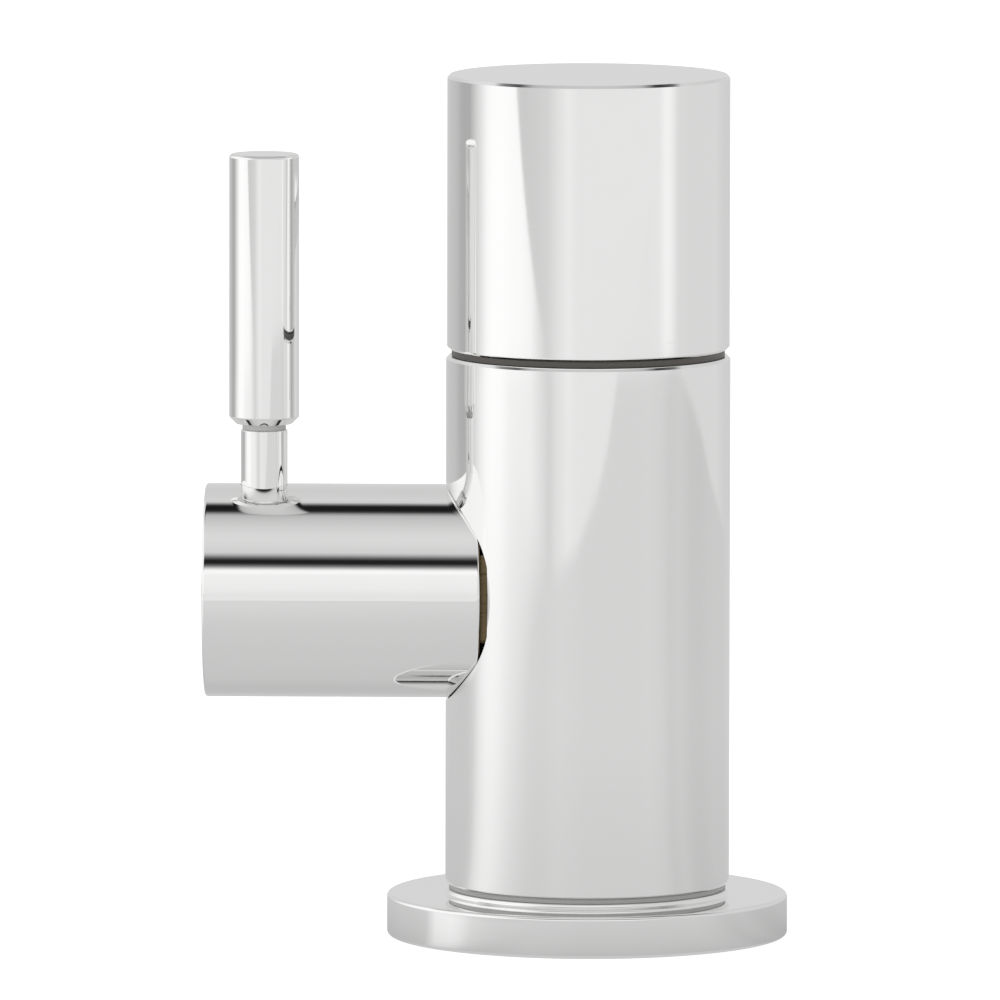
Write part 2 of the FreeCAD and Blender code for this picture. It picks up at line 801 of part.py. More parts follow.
def cartridge_housing():
    """The headpart's housing, in heights from its seat."""
    start = d.loose_clearance
    groove_root = d.housing_radius - d.housing_oring_section
    groove_half = d.housing_oring_section / 2 + d.loose_clearance
    points = [(housing_hollow, start), (d.housing_radius, start)]
    oring_groove(points, d.housing_oring_place, d.housing_radius, groove_root, groove_half)
    points += [
        (d.housing_radius, d.housing_depth + d.housing_collar),
        (d.nose_radius, d.housing_depth + d.housing_collar),
        (d.nose_radius, nose_end),
        (spindle_bore, nose_end),
        (spindle_bore, housing_shoulder),
        (housing_hollow, housing_shoulder),
    ]
    shell = sideways(turned("housing_shell", points), seat_place)
    collar = sideways(hexagon(d.collar_across_flats, d.housing_collar), seat_place, d.housing_depth)
    blank = joined("housing_blank", "Part::MultiFuse", [shell, collar])
    reach = d.housing_radius + d.drill_spare
    window_place = seat_place + chamber_start + d.chamber_width / 2
    upward = rod(d.window_radius, reach * 2, -window_place, 0, d.hub_axis_height - reach)
    across = rod(d.window_radius, reach * 2, -window_place, -reach, d.hub_axis_height,
                 BACKWARD)
    bore = side_rod(spindle_bore, d.housing_collar + d.drill_spare,
                    seat_place, d.housing_depth - d.drill_spare)
    return cut("cartridge_housing", blank, [upward, across, bore])


def cartridge_seal():
    """The rubber ring between the fixed disc and the seat."""
    inner = d.seat_hole_radius + d.seat_seal_land
    made = turned("cartridge_seal", [
        (inner, 0),
        (disc_radius, 0),
        (disc_radius, d.seat_seal_thickness),
        (inner, d.seat_seal_thickness),
    ])
    return sideways(made, seat_place)


def housing_oring():
    made = torus(d.housing_oring_section, d.housing_radius)
    made.Label = "housing_oring"
    return sideways(made, seat_place, d.housing_oring_place)


def ceramic_disc(label, start, thickness, turn):
    """A ceramic disc with two opposite sector ports."""
    blank = side_rod(disc_radius, thickness, seat_place, start)
    tools = []
    for side in (0, 180):
        first = turn + side - DISC_PORT_ANGLE / 2
        rotation = TO_THE_LEVER * Rotation(Vector(0, 0, 1), first)
        sector = rod(d.disc_port_outer, thickness, -(seat_place + start), 0,
                     d.hub_axis_height, rotation, DISC_PORT_ANGLE)
        core = side_rod(d.disc_port_inner, thickness, seat_place, start)
        tools.append(cut(label + "_port", sector, [core]))
    return cut(label, blank, tools)


def thrust_washer():
    inner = spindle_bore + d.loose_clearance
    made = turned("friction_washer", [
        (inner, 0),
        (disc_radius, 0),
        (disc_radius, d.thrust_washer_thickness),
        (inner, d.thrust_washer_thickness),
    ])
    return sideways(made, seat_place, thrust_washer_start)


def spline_grooves(made, apex, mouth, half_width, start, length):
    """Cut a ring of V grooves, each from its apex at one radius to its mouth at the other."""
    sketch = outline(made, "Groove", "XY_Plane",
                     [(apex, 0), (mouth, half_width), (mouth, -half_width)])
    sketch.AttachmentOffset = Placement(Vector(0, 0, number(start)), UPRIGHT)
    sketch.setExpression("AttachmentOffset.Base.z", start.text)
    pocket = made.newObject("PartDesign::Pocket", "Groove")
    pocket.Profile = sketch
    bind(pocket, "Length", length)
    pocket.Reversed = True
    made.Tip = pocket
    doc.recompute()
    pattern = made.newObject("PartDesign::PolarPattern", "Ridges")
    pattern.Originals = [pocket]
    pattern.Axis = (origin_part(made, "Z_Axis"), [""])
    pattern.Angle = 360.0
    pattern.Occurrences = SPLINE_TEETH
    made.Tip = pattern
    doc.recompute()


def valve_spindle():
    """The spindle: drive head, O-ring grooves, clip groove and splined end."""
    groove_root = d.spindle_radius - d.spindle_oring_section
    groove_half = d.spindle_oring_section / 2 + d.running_clearance
    clip_root = d.spindle_radius - d.clip_groove_depth
    points = [
        (0, moving_disc_end),
        (disc_radius, moving_disc_end),
        (disc_radius, drive_head_end),
        (d.spindle_radius, drive_head_end),
    ]
    for place in (d.spindle_oring_first, d.spindle_oring_first + d.spindle_oring_pitch):
        oring_groove(points, place, d.spindle_radius, groove_root, groove_half)
    points += [
        (d.spindle_radius, clip_start),
        (clip_root, clip_start),
        (clip_root, clip_end),
        (d.spindle_radius, clip_end),
        (d.spindle_radius, spline_end),
        (0, spline_end),
    ]
    made = turned("valve_spindle", points)
    mouth = d.spindle_radius + d.spline_depth
    half_width = d.spline_depth * 2 * SPLINE_FLANK
    spline_grooves(made, spline_root, mouth, half_width, spline_start, d.spline_length)
    sideways(made, seat_place)
    made.Placement.Rotation = TO_THE_LEVER * Rotation(Vector(0, 0, 1), HALF_TOOTH)
    return made


def spindle_orings():
    rings = [sideways(torus(d.spindle_oring_section, d.spindle_radius), seat_place, place)
             for place in (d.spindle_oring_first, d.spindle_oring_first + d.spindle_oring_pitch)]
    return joined("spindle_orings", "Part::Compound", rings)


def spindle_clip():
    """The open clip in the spindle's groove, outside the housing's nose."""
    root = d.spindle_radius - d.clip_groove_depth
    half_mouth = root * CLIP_MOUTH_SHARE
    plate = side_rod(d.clip_radius, d.clip_thickness, seat_place, clip_start)
    hole = side_rod(root, d.clip_thickness, seat_place, clip_start)
    mouth = block(d.clip_thickness, half_mouth * 2, d.clip_radius,
                  -(seat_place + clip_end), -half_mouth, d.hub_axis_height)
    return cut("spindle_clip", plate, [hole, mouth])


def handle_hub():
    """The side cylinder: hollow inner end, splined socket, lever thread, grub screw thread."""
    length = d.hub_outer_end - d.hub_inner_end
    hollow = d.collar_across_flats * HEX_CORNER + d.hub_hollow_play
    hollow_depth = hub_floor + seat_place - d.hub_inner_end
    socket_depth = d.spline_length + d.loose_clearance
    socket = spline_root + d.joint_clearance * 3
    made = turned("handle_hub", [
        (hollow, 0),
        (d.hub_radius - d.foot_chamfer, 0),
        (d.hub_radius, d.foot_chamfer),
        (d.hub_radius, length),
        (0, length),
        (0, hollow_depth + socket_depth),
        (socket, hollow_depth + socket_depth),
        (socket, hollow_depth),
        (hollow, hollow_depth),
    ])
    round_rims(made, d.hub_rounding, [(d.hub_radius, length)])
    taper = SPLINE_FLANK - math.tan(math.radians(HALF_TOOTH))
    apex = (spline_root * SPLINE_FLANK + d.joint_clearance) / taper
    mouth = socket - d.spline_depth
    spline_grooves(made, apex, mouth, (apex - mouth) * taper, hollow_depth, socket_depth)
    sideways(made, d.hub_inner_end)
    thread_foot = hub_top - d.neck_seat_depth - d.lever_thread_length - d.drill_spare
    thread = rod(d.lever_thread_radius + d.joint_clearance, d.hub_radius,
                 -lever_offset, 0, thread_foot)
    seat = rod(d.neck_radius + d.joint_clearance, d.hub_radius,
               -lever_offset, 0, hub_top - d.neck_seat_depth)
    grub_hole = rod(d.grub_radius + d.joint_clearance, d.hub_radius,
                    -grub_place, 0, d.hub_axis_height - d.hub_radius - d.drill_spare)
    return cut("handle_hub", made, [thread, seat, grub_hole])


def lever_stem():
    """The lever's neck with a thread below and a tang above."""
    seat = d.lever_thread_length
    neck_top = seat + d.neck_seat_depth + d.neck_length
    made = turned("lever_stem", [
        (0, 0),
        (d.lever_thread_radius, 0),
        (d.lever_thread_radius, seat),
        (d.neck_radius, seat),
        (d.neck_radius, neck_top),
        (d.tang_radius, neck_top),
        (d.tang_radius, neck_top + d.tang_length),
        (0, neck_top + d.tang_length),
    ])
    return placed(made, -lever_offset, 0,
                  hub_top - d.neck_seat_depth - d.lever_thread_length)


def lever_grip():
    """The round grip, bored for the tang."""
    bore = d.tang_radius + d.joint_clearance
    made = turned("lever_grip", [
        (bore, 0),
        (d.grip_radius - d.grip_foot_chamfer, 0),
        (d.grip_radius, d.grip_foot_chamfer),
        (d.grip_radius, d.grip_length - d.grip_top_chamfer),
        (d.grip_radius - d.grip_top_chamfer, d.grip_length),
        (0, d.grip_length),
        (0, d.tang_length + d.drill_spare),
        (bore, d.tang_length + d.drill_spare),
    ])
    return placed(made, -lever_offset, 0, grip_foot)


def hub_grub_screw():
    """The screw under the hub that bears on the spline."""
    top = d.hub_axis_height - d.spindle_radius - d.joint_clearance
    shank = rod(d.grub_radius, d.grub_length, -grub_place, 0, top - d.grub_length)
    key = hexagon(d.grub_key_radius * 2, d.grub_key_depth, -grub_place, 0, top - d.grub_length)
    return cut("hub_grub_screw", shank, [key])


def fixing_stud():
    """The threaded stud, with a screwdriver slot at its foot."""
    stack = (d.deck_thickness + d.clamp_rubber_thickness + d.clamp_plate_thickness
             + d.nut_height + d.stud_spare)
    length = stack + body_bottom + d.stud_engagement
    shank = rod(d.stud_radius, length, -stud_offset, 0, -stack)
    slot = block(d.stud_radius * 2, d.stud_slot_width, d.stud_slot_depth,
                 -(stud_offset + d.stud_radius), -(d.stud_slot_width / 2), -stack)
    return cut("fixing_stud", shank, [slot])


def horseshoe(label, thickness, low):
    """A clamp disc with a hole for the stud and an open slot for the hose."""
    plate = rod(d.clamp_radius, thickness, 0, 0, low)
    hole = rod(d.stud_radius + d.loose_clearance, thickness, -stud_offset, 0, low)
    slot_end = rod(d.hose_slot_radius, thickness, inlet_offset, 0, low)
    slot = block(d.clamp_radius, d.hose_slot_radius * 2, thickness,
                 inlet_offset, -d.hose_slot_radius, low)
    return cut(label, plate, [hole, slot_end, slot])


def clamp_nut():
    low = -(d.deck_thickness + d.clamp_rubber_thickness + d.clamp_plate_thickness + d.nut_height)
    bar = hexagon(d.nut_across_flats, d.nut_height, -stud_offset, 0, low)
    hole = rod(d.stud_radius + d.joint_clearance, d.nut_height, -stud_offset, 0, low)
    return cut("clamp_nut", bar, [hole])


rubber_low = -(d.deck_thickness + d.clamp_rubber_thickness)

pieces = [
    gasket(),
    flange(),
    foot_seal(),
    valve_body(),
    swivel_spigot(),
    spigot_orings(),
    glide_ring(),
    seam_ring(),
    cartridge_housing(),
    cartridge_seal(),
    housing_oring(),
    ceramic_disc("fixed_ceramic_disc", d.seat_seal_thickness, d.fixed_disc_thickness, 0),
    thrust_washer(),
    fixing_stud(),
    horseshoe("clamp_rubber", d.clamp_rubber_thickness, rubber_low),
    horseshoe("clamp_plate", d.clamp_plate_thickness, rubber_low - d.clamp_plate_thickness),
    clamp_nut(),
    handle_hub(),
    lever_stem(),
    lever_grip(),
    hub_grub_screw(),
    valve_spindle(),
    ceramic_disc("moving_ceramic_disc", moving_disc_start, d.moving_disc_thickness, 90),
    spindle_orings(),
    spindle_clip(),
    swivel_head(),
    stop_screw(),
    spout_tube(),
    spout_collar(),
    nozzle(),
    aerator_insert(),
    aerator_seal(),
]

doc.recompute()

for thing in doc.Objects:
    if "Invalid" in thing.State or "Error" in thing.State:
        raise RuntimeError("%s failed: %s" % (thing.Label, thing.State))
for piece in pieces:
    if piece.Shape.isNull() or not piece.Shape.isValid():
        raise RuntimeError("%s has no valid shape" % piece.Label)

os.makedirs("parts", exist_ok=True)
for piece in pieces:
    piece.Shape.exportStep("parts/%s.step" % piece.Label)
    print("%-22s solids %d  volume %.1f" % (piece.Label, len(piece.Shape.Solids), piece.Shape.Volume))
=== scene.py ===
import json
import math

import bpy
import numpy as np
from mathutils import Matrix, Vector
from mathutils.geometry import tessellate_polygon


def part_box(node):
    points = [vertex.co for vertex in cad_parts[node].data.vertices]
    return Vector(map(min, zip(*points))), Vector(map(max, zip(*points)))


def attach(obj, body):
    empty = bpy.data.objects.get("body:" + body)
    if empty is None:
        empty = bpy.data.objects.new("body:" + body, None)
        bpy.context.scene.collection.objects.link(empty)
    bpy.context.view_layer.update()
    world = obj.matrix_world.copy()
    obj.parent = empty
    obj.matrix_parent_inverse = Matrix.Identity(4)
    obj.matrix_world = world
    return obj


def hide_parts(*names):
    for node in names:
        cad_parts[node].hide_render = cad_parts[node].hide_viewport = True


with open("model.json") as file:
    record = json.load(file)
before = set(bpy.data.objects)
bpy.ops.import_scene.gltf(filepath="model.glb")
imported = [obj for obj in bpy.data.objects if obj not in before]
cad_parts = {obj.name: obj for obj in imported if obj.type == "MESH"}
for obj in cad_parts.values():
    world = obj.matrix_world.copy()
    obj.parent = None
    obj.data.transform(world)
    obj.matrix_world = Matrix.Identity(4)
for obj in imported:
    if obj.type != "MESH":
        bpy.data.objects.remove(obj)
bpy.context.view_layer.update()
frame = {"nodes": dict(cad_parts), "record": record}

# Hot water faucet. Metres, +Z up, the camera looks along +Y.
# A piece's surface is made of patches. A patch is a grid of points, with the surface's own
# normal at every point, so that polished metal mirrors its surroundings without facets.

MM = 0.001
TINY = 1e-7            # shorter stretches are left out
WELD = 2e-7            # points nearer than this are one


def full_turn(columns):
    """Angles round a circle, from 0 to 360 degrees."""
    return np.linspace(0, 2 * math.pi, columns + 1)


def corner(node, end, axis):
    """A coordinate of a CAD node's low (0) or high (1) corner."""
    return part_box(node)[end]["xyz".index(axis)]


def centre_of(node, axis):
    """A coordinate of the middle of a CAD node."""
    return (corner(node, 0, axis) + corner(node, 1, axis)) / 2


# Sizes read from the frame.
flange_radius = corner("base_flange", 1, "x")
collar_top = corner("base_flange", 1, "z")
body_radius = corner("valve_body", 1, "x")
body_bottom = corner("valve_body", 0, "z")
body_foot = corner("foot_seal", 1, "z")
body_top = corner("valve_body", 1, "z")
head_radius = corner("swivel_head", 1, "x")
head_bottom = corner("swivel_head", 0, "z")
head_top = corner("swivel_head", 1, "z")
axis_height = centre_of("handle_hub", "z")
hub_radius = corner("handle_hub", 1, "z") - axis_height
hub_outer_end = -corner("handle_hub", 0, "x")
hub_inner_end = -corner("handle_hub", 1, "x")
lever_place = centre_of("lever_grip", "x")
neck_radius = corner("lever_stem", 1, "x") - lever_place
grip_radius = corner("lever_grip", 1, "x") - lever_place
tube_radius = corner("spout_tube", 1, "x")
tube_start = corner("spout_tube", 0, "y")
tube_end = corner("spout_tube", 0, "z")
spout_height = corner("spout_tube", 1, "z") - tube_radius
spout_reach = corner("spout_tube", 1, "y") - tube_radius
stud_place = centre_of("fixing_stud", "x")
grub_place = centre_of("hub_grub_screw", "x")
outlet_centre = (0, centre_of("nozzle", "y"), 0)

# Sizes that match the frame's inner outlines, which its boxes don't give.
flange_height = 5.25 * MM
flange_bore = 13.2 * MM
gasket_recess = (15.8 * MM, 23.2 * MM, 1.5 * MM)
flange_rounding = 0.5 * MM
collar_cove = 0.4 * MM
pocket_radius = hub_radius + 0.2 * MM
pocket_floor = 12.25 * MM
headpart_bore = 8.45 * MM
seat_place = -6.5 * MM
hub_rounding = 0.4 * MM
hub_inner_rounding = 0.5 * MM
tube_wall = 1.0 * MM
bend_radius = 22.0 * MM
edge = 0.35 * MM
fit = 0.05 * MM
screw_hole = 2.05 * MM
stop_angle, stop_height = 50.0, head_bottom + 3.5 * MM
stop_seat = 9.1 * MM


# Surfaces.

def points_of(*coordinates):
    """Points from arrays of coordinates. A single number is the same for every point."""
    return np.stack(np.broadcast_arrays(*coordinates), axis=-1)


def length_of(vectors):
    """The vectors' lengths, in a column."""
    return np.linalg.norm(vectors, axis=-1, keepdims=True)


def flat_run(a, b):
    """A straight stretch of an outline, with its outward normal on the right of the way."""
    a, b = np.array(a, float), np.array(b, float)
    along = (b - a) / length_of(b - a)
    normal = np.array([along[1], -along[0]])
    return np.array([a, b]), np.array([normal, normal])


def round_run(a, middle, b, radius):
    """An arc of 8 steps, tangent to both legs of a corner, with its radial normals."""
    a, middle, b = (np.array(p, float) for p in (a, middle, b))
    back, ahead = (a - middle) / length_of(a - middle), (b - middle) / length_of(b - middle)
    half = math.acos(float(np.clip(np.dot(back, ahead), -1, 1))) / 2
    start, end = middle + back * radius / math.tan(half), middle + ahead * radius / math.tan(half)
    bisector = (back + ahead) / length_of(back + ahead)
    centre = middle + bisector * radius / math.sin(half)
    first, last = start - centre, end - centre
    opening = math.acos(float(np.clip(np.dot(first, last) / radius ** 2, -1, 1)))
    share = np.linspace(0, 1, 9)[:, None]
    arms = (np.sin((1 - share) * opening) * first + np.sin(share * opening) * last)
    arms /= math.sin(opening) * radius
    turn_left = np.cross(-back, ahead) > 0
    return centre + arms * radius, arms if turn_left else -arms


def outline(points, closed=True):
    """An outline's stretches. A point is (x, y) or (x, y, rounding); the solid is on the left."""
    stretches, starts = [], []
    count = len(points)
    for i, here in enumerate(points):
        if len(here) == 2 or (not closed and i in (0, count - 1)):
            starts.append((here[:2], here[:2]))
            continue
        run = round_run(points[i - 1][:2], here[:2], points[(i + 1) % count][:2], here[2])
        stretches.append(run)
        starts.append((run[0][0], run[0][-1]))
    for i in range(count if closed else count - 1):
        a, b = starts[i][1], starts[(i + 1) % count][0]
        if math.dist(a, b) > TINY:
            stretches.append(flat_run(a, b))
    return stretches


def turned(points, turns, closed=True):
    """An outline of (radius, height) turned about the Z axis: x = r cos t, y = r sin t."""
    patches = []
    for run, normals in outline(points, closed):
        if run[:, 0].max() < TINY:
            continue
        patches.append(turned_run(run, normals, turns))
    return patches


def turned_run(run, normals, turns):
    """One stretch of an outline turned about the Z axis."""
    return tuple(points_of(values[:, :1] * np.cos(turns), values[:, :1] * np.sin(turns),
                           values[:, 1:]) for values in (run, normals))


def opened(turns, *outlines):
    """Open outlines turned about the Z axis, whose ends other patches close."""
    return [patch for points in outlines for patch in turned(points, turns, closed=False)]


def blended(first, last, rows):
    """Rows of points from one curve to another, in equal shares."""
    share = np.linspace(0, 1, rows)[:, None, None]
    return first[None] * (1 - share) + last[None] * share


def facing(points, normal):
    """A patch that looks one way, or one way for each column of its points."""
    return points, np.broadcast_to(np.array(normal, float), points.shape)


def strip(first, last, normal):
    """A patch between two lines."""
    return facing(blended(first, last, 2), normal)


def level_ring(radius, turns, height):
    """Points round the Z axis at a height, at one radius or at a radius for each angle."""
    return points_of(radius * np.cos(turns), radius * np.sin(turns), height)


def plain_wall(radius, heights, turns):
    """A stretch of a cylinder's wall."""
    heights = np.array(heights)[:, None]
    return facing(level_ring(radius, turns, heights), level_ring(1.0, turns, 0.0))


def wall_with_bores(radius, low, high, bores, rows):
    """A cylinder's wall with round bores that point at its axis.

    Around a bore the wall is a sector of the cylinder. Its points lie on straight lines, in
    (angle, height), from the bore's rim to the sector's edge. The rim is where the bore
    cuts the wall: y = b cos t and z = b sin t across, and sqrt(r^2 - y^2) outward.
    Returns the patches and the angles that the rest of the piece has to share.
    """
    heights = np.linspace(low, high, rows)
    bores = sorted(bores, key=lambda bore: bore["turn"])
    patches, turns = [], []
    for i, bore in enumerate(bores):
        turn, half = bore["turn"], bore["half"]
        columns = np.linspace(turn - half, turn + half, bore["columns"])
        patches += bore_sector(radius, heights, columns, bore)
        following = bores[(i + 1) % len(bores)]
        gap_end = following["turn"] - following["half"]
        gap_end += 2 * math.pi if i == len(bores) - 1 else 0
        steps = max(2, int(math.ceil((gap_end - columns[-1]) / (2 * math.pi) * 144)) + 1)
        rest = np.linspace(columns[-1], gap_end, steps)
        patches.append(plain_wall(radius, heights, rest))
        turns += [columns, rest[1:-1]]
    around = np.concatenate(turns)
    return patches, np.append(around, around[0] + 2 * math.pi)


def bore_at(angle, half, columns, height, inside, rounding=0.1 * MM, inside_painted_shade=False):
    """A round bore for a wall: its angle and half its sector, in degrees, and its height.

    inside: its steps as (radius, distance from the wall's axis), from the mouth inward.
    """
    # The last argument marks a bore whose inside wears the piece's second finish, a darker colour
    # painted in as shade.
    return {"turn": math.radians(angle), "half": math.radians(half), "columns": columns,
            "height": height, "inside": inside, "rounding": rounding, "inside_painted_shade": inside_painted_shade}


def bore_sector(radius, heights, columns, bore):
    """The wall around one bore, the bore's rounded rim and its own inside."""
    turn, centre_height, inside = bore["turn"], bore["height"], bore["inside"]
    size, floor = inside[0]
    outward = np.array([math.cos(turn), math.sin(turn), 0.0])
    sideways = np.array([-math.sin(turn), math.cos(turn), 0.0])
    upward = np.array([0.0, 0.0, 1.0])
    frame_line = np.concatenate([
        points_of(columns, heights[-1])[:0:-1], points_of(columns[0], heights)[:0:-1],
        points_of(columns, heights[0])[:-1], points_of(columns[-1], heights),
    ])
    way = np.arctan2(frame_line[:, 1] - centre_height, (frame_line[:, 0] - turn) * radius)
    run_out = math.sqrt(radius ** 2 - floor ** 2)
    if run_out < size:
        lean = math.acos(run_out / size)
        for place in (lean, -lean, math.pi - lean, lean - math.pi):
            way[np.argmin(np.abs(way - place))] = place
    edges, edge_normals, ran_out = rounded_rim(radius, size, floor, way, bore["rounding"])
    rim = points_of(turn + np.arctan2(edges[0, :, 0], edges[0, :, 2]),
                    centre_height + edges[0, :, 1])
    spread = blended(rim, frame_line, 15)
    angle, height = spread[..., 0], spread[..., 1]
    base = upward * centre_height
    axes = np.stack([sideways, upward, outward])
    patches = [(level_ring(radius, angle, height), level_ring(1.0, angle, 0.0)),
               (edges @ axes + base, edge_normals @ axes)]

    def ring(share, distance):
        """A circle across the bore's axis, at a distance from the wall's axis."""
        return level_ring(share, way, distance) @ axes + base

    inward = -level_ring(1.0, way, 0.0) @ axes
    rim_line = edges[-1] @ axes + base
    first = ring(*inside[0])
    first[ran_out] = rim_line[ran_out]
    hollow = [facing(blended(rim_line, first, 4), inward)]
    lines = [first] + [ring(*place) for place in inside[1:]]
    for i in range(len(inside) - 1):
        step = np.subtract(inside[i + 1], inside[i])
        step /= length_of(step)
        normal = step[1] * -inward - step[0] * outward
        hollow.append(strip(lines[i], lines[i + 1], normal))
    # A marked hollow wears the piece's second finish, a darker colour painted in as shade.
    return patches + (painted_shade_patches(hollow) if bore["inside_painted_shade"] else hollow)


def rounded_rim(radius, size, floor, way, rounding):
    """The rounding between a cylinder's wall and a bore, in (sideways, upward, outward).

    Where the bore is wider than the wall's chord at its floor, the flat floor runs out into
    the wall along a straight line. Across the rim, two tangent planes meet at the edge
    point. The rounding is the arc that touches both, shifted so that its ends lie on the
    wall and on the bore. It fades towards the corners where the straight line starts.
    """
    run_out = math.sqrt(radius ** 2 - floor ** 2)
    ran_out = np.abs(size * np.cos(way)) > run_out - 1e-9
    across, up = np.clip(size * np.cos(way), -run_out, run_out), size * np.sin(way)
    rounding = np.full((len(way), 1), rounding)
    if run_out < size:
        from_corner = np.abs(np.abs(up) - math.sqrt(size ** 2 - run_out ** 2))
        rounding = np.minimum(rounding, 0.1 * from_corner[:, None] + 0.002 * MM)
    apex = points_of(across, up, np.sqrt(radius ** 2 - across ** 2))
    wall = points_of(across / radius, 0.0, apex[:, 2] / radius)
    bore = points_of(-np.cos(way), -np.sin(way), 0.0)
    bore[ran_out] = (0.0, 0.0, 1.0)
    opening = np.arccos(np.einsum("ij,ij->i", wall, bore))[:, None]
    centre = apex - (wall + bore) / length_of(wall + bore) * rounding / np.cos(opening / 2)
    share = np.linspace(0, 1, 7)[:, None, None]
    arms = (np.sin((1 - share) * opening) * wall + np.sin(share * opening) * bore)
    arms = arms / np.sin(opening)
    start, end = centre + rounding * wall, centre + rounding * bore
    on_wall = start.copy()
    on_wall[:, [0, 2]] *= radius / length_of(start[:, [0, 2]])
    on_bore = end.copy()
    on_bore[:, :2] *= size / length_of(end[:, :2])
    on_bore[ran_out] = end[ran_out]
    on_bore[ran_out, 2] = floor
    points = centre + rounding * arms
    points += (1 - share) * (on_wall - start) + share * (on_bore - end)
    return points, arms, ran_out


def swept(centre, ahead, radius, turns, inward=False):
    """A round section carried along a line of the YZ plane: centre + r (cos t X + sin t up)."""
    side = np.array([1.0, 0.0, 0.0])
    up = np.cross(ahead, side)[:, None]
    normals = np.cos(turns)[:, None] * side + np.sin(turns)[:, None] * up
    return centre[:, None, :] + radius * normals, -normals if inward else normals


def threaded(radius, core, pitch, low, high, turns):
    """A screw thread that climbs one pitch a turn, its ends turned down at 45 degrees.

    Along one pitch the outline is a crest of 1/8, a flank, a root of 1/4 and a flank.
    """
    corners = ((0.0, radius), (0.125, radius), (0.4375, core), (0.6875, core), (1.0, radius))
    share, sloped = np.linspace(0, 1, 3)[:, None], math.sqrt(0.5)
    patches = []
    for lap in range(-2, math.ceil((high - low) / pitch) + 2):
        for (start, first), (end, last) in zip(corners, corners[1:]):
            height = low + (lap + start + (end - start) * share + turns / (2 * math.pi)) * pitch
            if height.max() <= low or height.min() >= high:
                continue
            height = np.clip(height, low, high)
            limit = core + np.minimum(height - low, high - height)
            reach = np.minimum(first + (last - first) * share, limit)
            slope = np.array([(end - start) * pitch, first - last])
            slope = slope / length_of(slope)
            out = np.where(reach == limit, sloped, slope[0])
            turned_down = np.where(height < (low + high) / 2, -sloped, sloped)
            rise = np.where(reach == limit, turned_down, slope[1])
            patches.append((level_ring(reach, turns, height), level_ring(out, turns, rise)))
    return patches


def hexagon_reach(flat, turns):
    """A hexagon's radius, with corners at 0, 60, ... degrees: r = flat / cos t on each side."""
    return flat / np.cos(turns % (math.pi / 3) - math.pi / 6)


def hexagon_sides(first, last, way):
    """The six flat sides between two hexagonal lines. They look out (1) or in (-1)."""
    columns, patches = len(first) // 6, []
    for side in range(6):
        part = slice(columns * side, columns * (side + 1) + 1)
        normal = level_ring(way, math.radians(30 + 60 * side), 0.0)
        patches.append(strip(first[part], last[part], normal))
    return patches


def socket_face(flat, depth, rim, low, turns):
    """The lower face of a screw, with a hexagonal socket that ends in a shallow cone."""
    reach = hexagon_reach(flat, turns)
    mouth, floor = level_ring(reach, turns, low), level_ring(reach, turns, low + depth)
    down = (0.0, 0.0, -1.0)
    tip = level_ring(0.0, turns, low + depth * 1.15)
    return [strip(mouth, level_ring(rim, turns, low), down),
            strip(floor, tip, down)] + hexagon_sides(mouth, floor, -1)


def circle_loop(radius, x=0.0, y=0.0, steps=72, hole=False):
    """A circle's points and outward normals: anticlockwise, or clockwise round a hole."""
    angle = full_turn(steps)[:-1]
    normals = points_of(np.cos(angle), np.sin(angle))
    points = np.array([x, y]) + radius * normals
    return (points[::-1], -normals[::-1]) if hole else (points, normals)


def at_height(points, height):
    """Points of a plane at one height."""
    return np.column_stack([points, np.full(len(points), height)])


def plate(loops, low, high):
    """A flat piece. Its walls stand on closed lines, each with its own rounded edge.

    Across an edge of rounding e, at an angle a: inset e (1 - cos a) and rise e sin a.
    """
    swing = np.linspace(0, math.pi / 2, 5)
    below, above = [(a, low, -1.0) for a in swing[::-1]], [(a, high, 1.0) for a in swing]
    patches, rims = [], []
    for points, normals, eased in loops:
        rims.append(points - eased * normals)
        points, normals = np.vstack([points, points[:1]]), np.vstack([normals, normals[:1]])
        rows = [at_height(points - eased * (1 - math.cos(a)) * normals,
                          face - way * eased * (1 - math.sin(a)))
                for a, face, way in below + above]
        row_normals = [at_height(normals * math.cos(a), way * math.sin(a))
                       for a, _, way in below + above]
        patches.append((np.stack(rows), np.stack(row_normals)))
    return patches + [flat_face(rims, low, -1.0), flat_face(rims, high, 1.0)]


def flat_face(loops, height, way):
    """The flat face between closed lines, in triangles."""
    lines = [[Vector((x, y, 0.0)) for x, y in loop * 1000] for loop in loops]
    faces = np.array([(*face, face[-1]) for face in tessellate_polygon(lines)])
    points = at_height(np.concatenate(loops), height)
    return (*facing(points, (0.0, 0.0, way)), 0, faces)


def painted_shade_patches(patches):
    """The same patches, marked to wear the piece's second finish, a darker colour painted in as
    shade.
    """
    return [(points, normals, 1) for points, normals, *_ in patches]


def moved(patches, matrix, origin):
    """The same patches turned by a matrix and carried to an origin."""
    turn = np.array(matrix, float).T
    return [(points @ turn + np.array(origin, float), normals @ turn, *rest)
            for points, normals, *rest in patches]


TO_THE_LEVER = np.array([[0, 0, -1], [0, 1, 0], [1, 0, 0]])     # local Z points along -X
BACKWARD = np.array([[1, 0, 0], [0, 0, 1], [0, -1, 0]])         # local Z points along +Y
stop_turn = math.radians(stop_angle)
INTO_THE_HEAD = np.array([[math.sin(stop_turn), 0, -math.cos(stop_turn)],
                          [-math.cos(stop_turn), 0, -math.sin(stop_turn)], [0, 1, 0]])
REPLACED = set()


